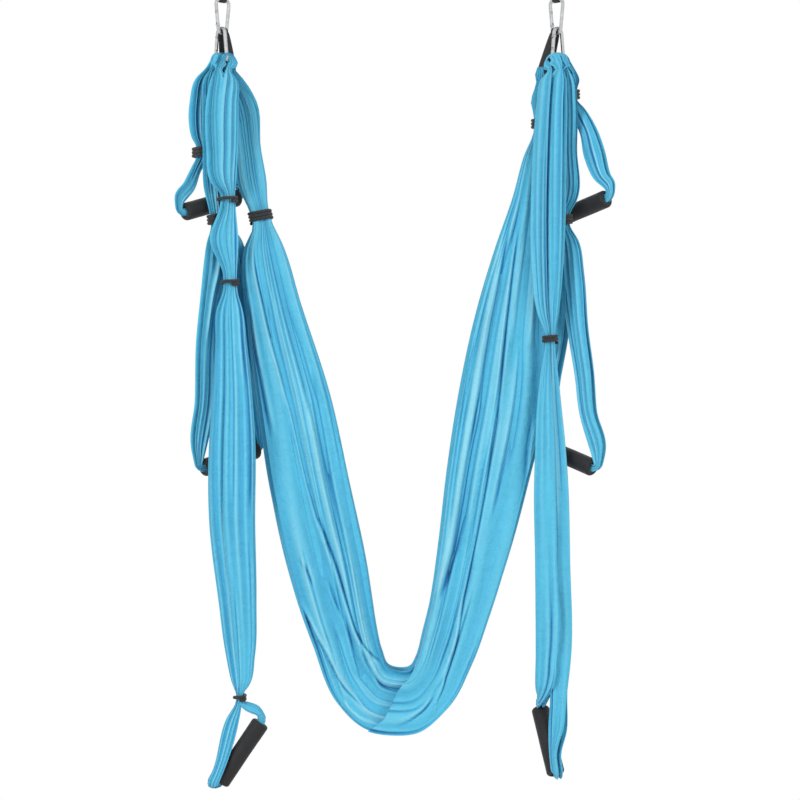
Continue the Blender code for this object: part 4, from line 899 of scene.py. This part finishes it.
def ribbon(name, line, outward, wide, thick, across, material, edge=4.0):
    """A closed flat strip carried along a line: a rounded oblong, thick along outward and wide along across."""
    angle = 2 * math.pi * (np.arange(RIBBON_SIDES) + 0.5) / RIBBON_SIDES
    reach = (np.abs(np.cos(angle)) ** edge + np.abs(np.sin(angle)) ** edge) ** (-1 / edge)
    side_ways = across * (wide / 2)[:, None]
    out_ways = outward * (thick / 2)[:, None]
    grid = (line[:, None, :] + side_ways[:, None, :] * (np.cos(angle) * reach)[None, :, None]
            + out_ways[:, None, :] * (np.sin(angle) * reach)[None, :, None])
    length = along_line(line)[-1]
    round_it = 2 * float(wide.mean() + thick.mean())
    return grid_piece(name, grid, material, (round_it, length), wrap_rows=True, wrap_columns=True)


def tube(name, line, radius, material):
    """A circle of changing radius carried along a line, square to it, its first direction level or nearly so."""
    ahead = unit(np.gradient(line, axis=0))
    reference = np.where(np.abs(ahead[:, 2:3]) < 0.9, np.array([[0.0, 0.0, 1.0]]), np.array([[1.0, 0.0, 0.0]]))
    side = unit(np.cross(ahead, reference))
    up = np.cross(side, ahead)
    angle = 2 * math.pi * np.arange(CORD_SIDES) / CORD_SIDES
    ring = side[:, None, :] * np.cos(angle)[None, :, None] + up[:, None, :] * np.sin(angle)[None, :, None]
    grid = line[:, None, :] + ring * radius[:, None, None]
    length = along_line(line)[-1]
    return grid_piece(name, grid, material, (2 * math.pi * float(np.mean(radius)), length), wrap_columns=True,
                      cap=True)


def recorded(piece, body, slot, *nodes):
    """The piece rides on a body and stands for the CAD nodes; its slot is not used."""
    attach(piece, body)
    if nodes:
        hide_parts(*nodes)


def strap_piece(side_name, side, sizes, finish):
    """Webbing sewn to itself: one closed strip round the ceiling eye, down, round the carabiner and up."""
    wall = sizes.strap_thickness
    eye = sizes.strap_eye_width / 2
    inner = WIRE_RADIUS + WEBBING_GAP
    shoulder = [(0.004 + wall * 0.35, wall / 2), (eye * 0.75 + wall / 2, -0.003), (eye + wall / 2, -0.009),
                (eye + wall / 2, -0.020), (eye * 0.62 + wall / 2, -0.036), (wall / 2, STRAP_JOIN)]
    foot_angle = np.linspace(0.0, -math.pi / 2, 5)
    foot = [((inner + wall / 2) * math.cos(a), WIRE_HEIGHT + (inner + wall / 2) * math.sin(a)) for a in foot_angle]
    half = shoulder + [(wall / 2, -0.075), (wall / 2, -0.105), (wall / 2, STRAP_APEX),
                       (inner * 0.55 + wall / 2, WIRE_HEIGHT + 0.00992),
                       (inner + wall / 2, WIRE_HEIGHT + 0.004)] + foot
    outline = np.array(half + [(-x, z) for x, z in reversed(half[:-1])])
    wrapped = np.vstack([outline[-3:], outline, outline[:4]])
    knots = along_line(wrapped)
    flat = eased(knots, wrapped, np.linspace(knots[3], knots[3 + len(outline)], 241)[:-1])
    share = np.clip((flat[:, 1] - STRAP_APEX) / (STRAP_JOIN - STRAP_APEX), 0.0, 1.0)
    wide = STRAP_FOOT_WIDTH + (sizes.strap_width - STRAP_FOOT_WIDTH) * share
    ahead = unit(np.roll(flat, -1, axis=0) - np.roll(flat, 1, axis=0))
    direction = np.array([side[0] * HALF_ROOT, HALF_ROOT, 0.0])
    across = np.array([side[0] * HALF_ROOT, -HALF_ROOT, 0.0])
    line = flat[:, 0:1] * direction + np.array([[side[1], 0.0, 0.0]]) + flat[:, 1:2] * np.array([[0.0, 0.0, 1.0]])
    outward = -ahead[:, 1:2] * direction + ahead[:, 0:1] * np.array([[0.0, 0.0, 1.0]])
    return ribbon(f"webbing_strap_{side_name}", line, outward, wide, np.full(len(line), wall * STRAP_THINNER),
                  np.broadcast_to(across, line.shape), finish)


def sling_piece(side_name, side, sizes, finish):
    """A closed webbing sling: over the upper carabiner's wire, down, and round through the hammock's end."""
    foot_s, foot_t, foot_z = left_sling_foot_shares if side is LEFT else right_sling_foot_shares
    upper_low = WIRE_HEIGHT - CARABINER_REACH
    top, low = WIRE_RADIUS + WEBBING_GAP + SLING_HALF, SLING_FOOT_RADIUS
    crown = np.array([0.0, -LINK_SIDE - SLING_BACK, upper_low + SLING_SEAT - top])
    foot = np.array([foot_s * sizes.loop_reach, foot_t * sizes.loop_reach,
                     LOWER_HEIGHT + foot_z * CARABINER_LENGTH + low])
    arc = np.linspace(0.0, math.pi, 25)[:, None]
    spread = np.hstack([np.cos(arc), 0 * arc, np.sin(arc)])
    level = np.linspace(0.0, 1.0, 22)[1:-1, None]
    left_top, left_low = crown - [top, 0, 0], foot - [low, 0, 0]
    right_low, right_top = foot + [low, 0, 0], crown + [top, 0, 0]
    local = np.vstack([crown + spread * top, left_top + (left_low - left_top) * level,
                       foot - spread * low, right_low + (right_top - right_low) * level])
    out = np.vstack([spread, np.tile([-1.0, 0, 0], (len(level), 1)), -spread,
                     np.tile([1.0, 0, 0], (len(level), 1))])
    share = np.concatenate([np.zeros(len(arc)), level[:, 0], np.ones(len(arc)), 1 - level[:, 0]])
    across_t = local[:, 1] + LINK_SIDE
    world = np.stack([side[1] + side[0] * (local[:, 0] + across_t) * HALF_ROOT,
                      (local[:, 0] - across_t) * HALF_ROOT, local[:, 2]], axis=1)
    outward = np.stack([side[0] * out[:, 0] * HALF_ROOT, out[:, 0] * HALF_ROOT, out[:, 2]], axis=1)
    across = np.broadcast_to(np.array([side[0] * HALF_ROOT, -HALF_ROOT, 0.0]), world.shape)
    wide, thick = SLING_WIDTH + SLING_WIDER * np.sqrt(share), SLING_THICKNESS - SLING_THINNER * share
    return ribbon(f"webbing_sling_{side_name}", world, outward, wide, thick, across, finish, edge=3.0)


def grip_piece(handle, sizes, finish):
    """A foam sleeve: its outline turned round the grip's axis, a little pressed and uneven from use."""
    centre, axis, _ = grip_place(handle, sizes)
    half, bore, radius, bend = sizes.grip_length / 2, GRIP_BORE, sizes.grip_radius, GRIP_BEND
    corner = np.linspace(0.0, math.pi / 2, 7)
    straight = np.linspace(-half + bend, half - bend, 34)[1:-1]
    level = np.concatenate([[-half, -half], -half + bend - bend * np.cos(corner), straight,
                            half - bend + bend * np.sin(corner), [half, half]])
    wide = np.concatenate([[bore, (bore + radius - bend) / 2], radius - bend + bend * np.sin(corner),
                           np.full(len(straight), radius), radius - bend + bend * np.cos(corner),
                           [(bore + radius - bend) / 2, bore]])
    inside = np.linspace(half, -half, 12)[1:-1]
    level, wide = np.concatenate([level, inside]), np.concatenate([wide, np.full(len(inside), bore)])
    angle = 2 * math.pi * np.arange(GRIP_SIDES) / GRIP_SIDES
    outer = (wide > bore + GRIP_EVEN)[:, None]
    uneven = 1 + outer * (GRIP_WAVE * np.sin(3 * angle[None, :] + 60 * level[:, None])
                          - GRIP_WAIST * np.cos(level[:, None] / half * 2.2)
                          + GRIP_RIPPLE * np.sin(90 * level[:, None]))
    first = unit(np.cross(axis, np.array([0.0, 0.0, 1.0])))
    second = np.cross(axis, first)
    ring = first * np.cos(angle)[:, None] + second * np.sin(angle)[:, None]
    grid = centre + axis * level[:, None, None] + ring[None] * (wide[:, None] * uneven)[..., None]
    return grid_piece(f"foam_{handle[0]}_grip", grid, finish, GRIP_MAP, wrap_rows=True, wrap_columns=True)


def band_piece(name, frame_axes, centre, halves, turns, squareness, finish):
    """A cord wound round a bundle: its line runs round a rounded oblong and climbs a pitch a turn."""
    along, across, ahead = frame_axes
    total = int(turns * BAND_STEPS)
    angle = 2 * math.pi * (np.arange(total + 1) / BAND_STEPS - turns / 2)
    reach = (np.abs(np.cos(angle)) ** squareness + np.abs(np.sin(angle)) ** squareness) ** (-1 / squareness)
    out = (along * ((halves[0] + BAND_SEAT) * np.cos(angle) * reach)[:, None]
           + across * ((halves[1] + BAND_SEAT) * np.sin(angle) * reach)[:, None])
    line = centre + out + ahead * (BAND_PITCH * angle / (2 * math.pi))[:, None]
    return tube(name, line, CORD_RADIUS + CORD_UNEVEN * np.sin(5 * angle), finish)


def handle_band_axes(handle, sizes, rows):
    """Axes, middle and half sizes of a band between two rows of a handle."""
    first, second = handle[3][rows[0]], handle[3][rows[1]]
    drop, reach = getattr(sizes, handle[2]), sizes.loop_reach
    start, end = row_place(handle, drop, first, reach), row_place(handle, drop, second, reach)
    ahead = unit(end - start)
    along, _ = lane_direction(handle[1], (first[6] + second[6]) / 2)
    along = unit(along - ahead * (along @ ahead))
    across = np.cross(ahead, along)
    return (along, across, ahead), (start + end) / 2, ((first[3] + first[4]) * reach, first[5] * reach)


def hammock_band_axes(sizes, rows):
    """Axes, middle and half sizes of a band, from the hammock's own frames at the two rows beside it."""
    frames = hammock_path(sizes)[1]
    start, end = frames[rows[0]], frames[rows[1]]
    ahead = unit(end[0:3] - start[0:3])
    along = unit(start[3:6] - ahead * (start[3:6] @ ahead))
    halves = (float(start[3:6] @ along), max(start[7], end[7]))
    return (along, np.array([0.0, 1.0, 0.0]), ahead), (start[0:3] + end[0:3]) / 2, halves


def finish_node(name, material):
    """A CAD node keeps its mesh and gets a finish."""
    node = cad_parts[name]
    node.data.materials.clear()
    node.data.materials.append(material)


def flat_columns(places):
    """Share of the flat width at each column: the mean of all rows' own shares."""
    steps = np.linalg.norm(np.diff(places, axis=1), axis=2)
    steps = steps / np.maximum(steps.sum(axis=1, keepdims=True), 1e-9)
    return np.concatenate(([0.0], np.cumsum(steps.mean(axis=0))))


def cloth_finish(colours):
    """The cloth's material, made once and then used again."""
    made = bpy.data.materials.get("blue nylon cloth")
    return made or cloth_material(colours)


def floor_material():
    """Plain pale floor: a matt surface that keeps the shadow, seen white where it is lit."""
    n = Nodes("pale floor")
    grain = n.noise(n.place(own=False), 9.0, 3.0)
    n.shade(Base_Color=n.blend(grain, (0.86, 0.86, 0.86), (0.90, 0.90, 0.90)), Roughness=0.9)
    return n.material


def background(scene):
    """White to the camera, in mirrors and through glass, and a plain soft grey light otherwise."""
    world = bpy.data.worlds.new("studio")
    world.use_nodes = True
    scene.world = world
    tree = world.node_tree
    light = tree.nodes["Background"]
    light.inputs["Color"].default_value = (1.0, 1.0, 1.0, 1.0)
    path = tree.nodes.new("ShaderNodeLightPath")
    seen = path.outputs["Is Camera Ray"]
    for kind in ("Is Glossy Ray", "Is Transmission Ray"):
        either = tree.nodes.new("ShaderNodeMath")
        either.operation = "MAXIMUM"
        tree.links.new(seen, either.inputs[0])
        tree.links.new(path.outputs[kind], either.inputs[1])
        seen = either.outputs[0]
    strength = tree.nodes.new("ShaderNodeMapRange")
    tree.links.new(seen, strength.inputs["Value"])
    strength.inputs["To Min"].default_value = SOFT_LIGHT
    strength.inputs["To Max"].default_value = 1.0
    tree.links.new(strength.outputs[0], light.inputs["Strength"])


def lamp(name, place, target, size, power):
    """A round soft lamp that faces a place."""
    data = bpy.data.lights.new(name, "AREA")
    data.shape = "DISK"
    data.size = size
    data.energy = power
    made = bpy.data.objects.new(name, data)
    made.location = place
    aim = Vector(target) - Vector(place)
    made.rotation_euler = aim.to_track_quat("-Z", "Y").to_euler()
    bpy.context.scene.collection.objects.link(made)


class HammockSizes(bpy.types.PropertyGroup):
    """Lengths that drive the cloth, straps and grips."""
    hook_spacing: FloatProperty(name="Hook spacing", description="Distance between the two ceiling hooks",
                                default=0.618, unit="LENGTH")
    hammock_drop: FloatProperty(name="Hammock drop", default=1.3586, unit="LENGTH",
                                description="From the carabiner's wire down to the seat's fold")
    hammock_depth: FloatProperty(name="Hammock depth", description="Scale of the cloth bundle from front to back",
                                 default=0.100, unit="LENGTH")
    short_drop: FloatProperty(name="Short handle drop", description="From the lower carabiner to the short grips",
                              default=0.266, unit="LENGTH")
    medium_drop: FloatProperty(name="Medium handle drop", default=0.731, unit="LENGTH",
                               description="From the lower carabiner to the medium grips")
    long_drop: FloatProperty(name="Long handle drop", description="From the lower carabiner to the long grips",
                             default=1.261, unit="LENGTH")
    loop_reach: FloatProperty(name="Loop reach", description="Scale of a handle's strands from side to side",
                              default=0.100, unit="LENGTH")
    grip_length: FloatProperty(name="Grip length", description="Length of a foam grip", default=0.134,
                               unit="LENGTH")
    grip_radius: FloatProperty(name="Grip radius", description="Outside radius of a foam grip", default=0.0165,
                               unit="LENGTH")
    strap_width: FloatProperty(name="Strap width", description="Width of the ceiling straps' webbing",
                               default=0.025, unit="LENGTH")
    strap_thickness: FloatProperty(name="Strap thickness", description="Thickness of the ceiling straps' webbing",
                                   default=0.0025, unit="LENGTH")
    strap_eye_width: FloatProperty(name="Strap eye width", description="Inside width of a strap's ceiling eye",
                                   default=0.024, unit="LENGTH")
    cloth_width: FloatProperty(name="Cloth width", description="Width of the hammock's cloth laid flat",
                               default=1.35, unit="LENGTH")
    cloth_layers: IntProperty(name="Cloth layers", description="How often the hammock's cloth goes to and fro",
                              default=12, min=3, max=14)
    handle_layers: IntProperty(name="Handle layers", description="How often a handle's cloth goes to and fro",
                               default=3, min=3, max=7)


class HammockColours(bpy.types.PropertyGroup):
    """Base colours of the finishes."""
    cloth: FloatVectorProperty(name="Cloth", description="The hammock's blue", subtype="COLOR",
                               default=(0.078, 0.480, 0.700), min=0.0, max=1.0)
    # painted shade: the blue put deep in a crease
    cloth_painted_crease_shade: FloatVectorProperty(name="Cloth creases", description="The blue deep in a crease", subtype="COLOR",
                                    default=(0.012, 0.170, 0.430), min=0.0, max=1.0)
    # painted highlight: the paler blue put on a roll
    cloth_painted_roll_highlight: FloatVectorProperty(name="Cloth rolls", description="The blue on a stretched roll",
                                    subtype="COLOR", default=(0.280, 0.680, 0.820), min=0.0, max=1.0)
    webbing: FloatVectorProperty(name="Webbing", description="Straps and slings", subtype="COLOR",
                                 default=(0.018, 0.018, 0.020), min=0.0, max=1.0)
    cord: FloatVectorProperty(name="Cord", description="Elastic cord of the bands", subtype="COLOR",
                              default=(0.014, 0.014, 0.016), min=0.0, max=1.0)
    foam: FloatVectorProperty(name="Foam", description="Foam of the grips", subtype="COLOR",
                              default=(0.009, 0.009, 0.010), min=0.0, max=1.0)
    steel: FloatVectorProperty(name="Steel", description="Plated steel of the carabiners", subtype="COLOR",
                               default=(0.54, 0.55, 0.56), min=0.0, max=1.0)


class HAMMOCK_OT_cloth(bpy.types.Operator):
    """Builds the hammock's gathered cloth from end to end"""
    bl_idname = "hammock.cloth"
    bl_label = "Hammock cloth"

    def execute(self, context):
        sizes, colours = context.scene.hammock_sizes, context.scene.hammock_colours
        path = hammock_path(sizes)
        along = np.interp(np.linspace(0.0, 1.0, CLOTH_ROWS), *cloth_row_shares)
        turns = laid_columns(sizes.cloth_layers, *CLOTH_COLUMNS)
        # the second value is the painted shade and highlight for the cloth's colour
        places, painted_shade_and_highlight = laid_cloth(path, along, turns, sizes.cloth_layers, CLOTH_SEED, CLOTH_LOOK,
                                    cloth_fold_shares, seat_overlap)
        length = float(path[3])
        piece = grid_piece("cloth_hammock", places, cloth_finish(colours), (sizes.cloth_width, length),
                           columns=flat_columns(places), lengths=along, attributes={"painted_shade_and_highlight": painted_shade_and_highlight})
        recorded(piece, "hanging_set", "blue_cloth", "hammock_cloth")
        return {"FINISHED"}


class HAMMOCK_OT_handles(bpy.types.Operator):
    """Builds the six closed handle loops from the carabiners down through the grips and up again"""
    bl_idname = "hammock.handles"
    bl_label = "Handle loops"

    def execute(self, context):
        sizes, colours = context.scene.hammock_sizes, context.scene.hammock_colours
        for number, handle in enumerate(HANDLES):
            drop = getattr(sizes, handle[2])
            path = handle_path(handle, sizes)
            length = float(path[3] - path[2])
            along = np.linspace(0.0, 1.0, int(HANDLE_ROWS + HANDLE_METRE_ROWS * drop) + 1)
            turns = laid_columns(sizes.handle_layers, *HANDLE_COLUMNS)
            # the second value is the painted shade and highlight for the cloth's colour
            places, painted_shade_and_highlight = laid_cloth(path, along, turns, sizes.handle_layers, HANDLE_SEED + number,
                                        HANDLE_LOOK)
            places, painted_shade_and_highlight = places[:-1], painted_shade_and_highlight[:-1]
            width = float(np.median(np.linalg.norm(np.diff(places, axis=1), axis=2).sum(axis=1)))
            piece = grid_piece(f"cloth_{handle[0]}_loop", places, cloth_finish(colours), (width, length),
                               wrap_rows=True, columns=flat_columns(places), attributes={"painted_shade_and_highlight": painted_shade_and_highlight})
            recorded(piece, f"{handle[0]}_handle", "blue_cloth", f"{handle[0]}_loop")
        return {"FINISHED"}


class HAMMOCK_OT_grips(bpy.types.Operator):
    """Builds the six foam grips and finishes the tubes inside them"""
    bl_idname = "hammock.grips"
    bl_label = "Grips"

    def execute(self, context):
        sizes, colours = context.scene.hammock_sizes, context.scene.hammock_colours
        foam, inside = foam_material(colours), tube_material(colours)
        for handle in HANDLES:
            piece = grip_piece(handle, sizes, foam)
            recorded(piece, f"{handle[0]}_grip_set", "grip_foam", f"{handle[0]}_grip")
            finish_node(f"{handle[0]}_core", inside)
        return {"FINISHED"}


class HAMMOCK_OT_bands(bpy.types.Operator):
    """Winds the elastic cords that gather the hammock's ends and the handles"""
    bl_idname = "hammock.bands"
    bl_label = "Bands"

    def execute(self, context):
        sizes, colours = context.scene.hammock_sizes, context.scene.hammock_colours
        finish = cord_material(colours)
        by_name = {handle[0]: handle for handle in HANDLES}
        for name, handle_name, rows, turns in BANDS:
            axes, centre, halves = handle_band_axes(by_name[handle_name], sizes, rows)
            piece = band_piece(f"cord_{name}", axes, centre, halves, turns, HANDLE_BAND_SQUARENESS, finish)
            recorded(piece, f"{handle_name}_handle", "binding_cord", name)
        for name, rows in (("hammock_left_band", hammock_left_band_rows),
                           ("hammock_right_band", hammock_right_band_rows)):
            axes, centre, halves = hammock_band_axes(sizes, rows)
            piece = band_piece(f"cord_{name}", axes, centre, halves, HAMMOCK_BAND_TURNS,
                               HAMMOCK_BAND_SQUARENESS, finish)
            recorded(piece, "hanging_set", "binding_cord", name)
        return {"FINISHED"}


class HAMMOCK_OT_webbing(bpy.types.Operator):
    """Builds the ceiling straps and the slings that carry the hammock's ends"""
    bl_idname = "hammock.webbing"
    bl_label = "Webbing"

    def execute(self, context):
        sizes, colours = context.scene.hammock_sizes, context.scene.hammock_colours
        finish = webbing_material(colours)
        for side_name, side in (("left", LEFT), ("right", RIGHT)):
            strap = strap_piece(side_name, side, sizes, finish)
            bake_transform(strap)
            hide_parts(f"strap_{side_name}")
            recorded(sling_piece(side_name, side, sizes, finish), "hanging_set", "webbing", f"sling_{side_name}")
        return {"FINISHED"}


class HAMMOCK_OT_steel(bpy.types.Operator):
    """Finishes the carabiners, gates, rivets, plungers and springs"""
    bl_idname = "hammock.steel"
    bl_label = "Steel"

    def execute(self, context):
        colours = context.scene.hammock_colours
        finish = steel_material(colours)
        for side in ("left", "right"):
            for kind in ("upper", "lower"):
                for part in ("carabiner", "gate", "rivet", "plunger", "spring"):
                    finish_node(f"{kind}_{part}_{side}", finish)
        return {"FINISHED"}


class HAMMOCK_OT_stage(bpy.types.Operator):
    """Sets the floor, the lamps, the background and the camera"""
    bl_idname = "hammock.stage"
    bl_label = "Stage"

    def execute(self, context):
        scene = context.scene
        level = np.linspace(-1.0, 1.0, 49)
        first, second = np.meshgrid(level, level)
        disc = np.stack([first * np.sqrt(1 - second ** 2 / 2), second * np.sqrt(1 - first ** 2 / 2), 0 * first],
                        axis=-1)
        floor = grid_piece("floor", disc * FLOOR_RADIUS + np.array(FLOOR_MIDDLE), floor_material())
        background(scene)
        for settings in LAMPS:
            lamp(*settings)
        data = bpy.data.cameras.new("camera")
        data.sensor_fit = "HORIZONTAL"
        data.angle = 2 * math.atan(CAMERA_HALF_VIEW / -CAMERA_PLACE[1])
        camera = bpy.data.objects.new("camera", data)
        camera.location = CAMERA_PLACE
        camera.rotation_euler = (math.pi / 2, 0.0, 0.0)
        scene.collection.objects.link(camera)
        scene.camera = camera
        scene.view_settings.view_transform = "Standard"
        return {"FINISHED"}


class HAMMOCK_PT_panel(bpy.types.Panel):
    """Lists the hammock's pieces, sizes and colours"""
    bl_idname = "HAMMOCK_PT_panel"
    bl_label = "Aerial hammock"
    bl_space_type = "VIEW_3D"
    bl_region_type = "UI"
    bl_category = "Hammock"

    def draw(self, context):
        for group in (context.scene.hammock_sizes, context.scene.hammock_colours):
            for key in group.__annotations__:
                self.layout.prop(group, key)
        for operator in OPERATORS:
            self.layout.operator(operator.bl_idname)


OPERATORS = (HAMMOCK_OT_cloth, HAMMOCK_OT_handles, HAMMOCK_OT_grips, HAMMOCK_OT_bands, HAMMOCK_OT_webbing,
             HAMMOCK_OT_steel, HAMMOCK_OT_stage)
CLASSES = (HammockSizes, HammockColours, *OPERATORS, HAMMOCK_PT_panel)


def register():
    for item in CLASSES:
        bpy.utils.register_class(item)
    bpy.types.Scene.hammock_sizes = PointerProperty(type=HammockSizes)
    bpy.types.Scene.hammock_colours = PointerProperty(type=HammockColours)


def unregister():
    del bpy.types.Scene.hammock_colours
    del bpy.types.Scene.hammock_sizes
    for item in reversed(CLASSES):
        bpy.utils.unregister_class(item)


def main():
    register()
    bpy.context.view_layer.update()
    for operator in OPERATORS:
        group, action = operator.bl_idname.split(".")
        getattr(getattr(bpy.ops, group), action)()


if __name__ == "__main__":
    main()
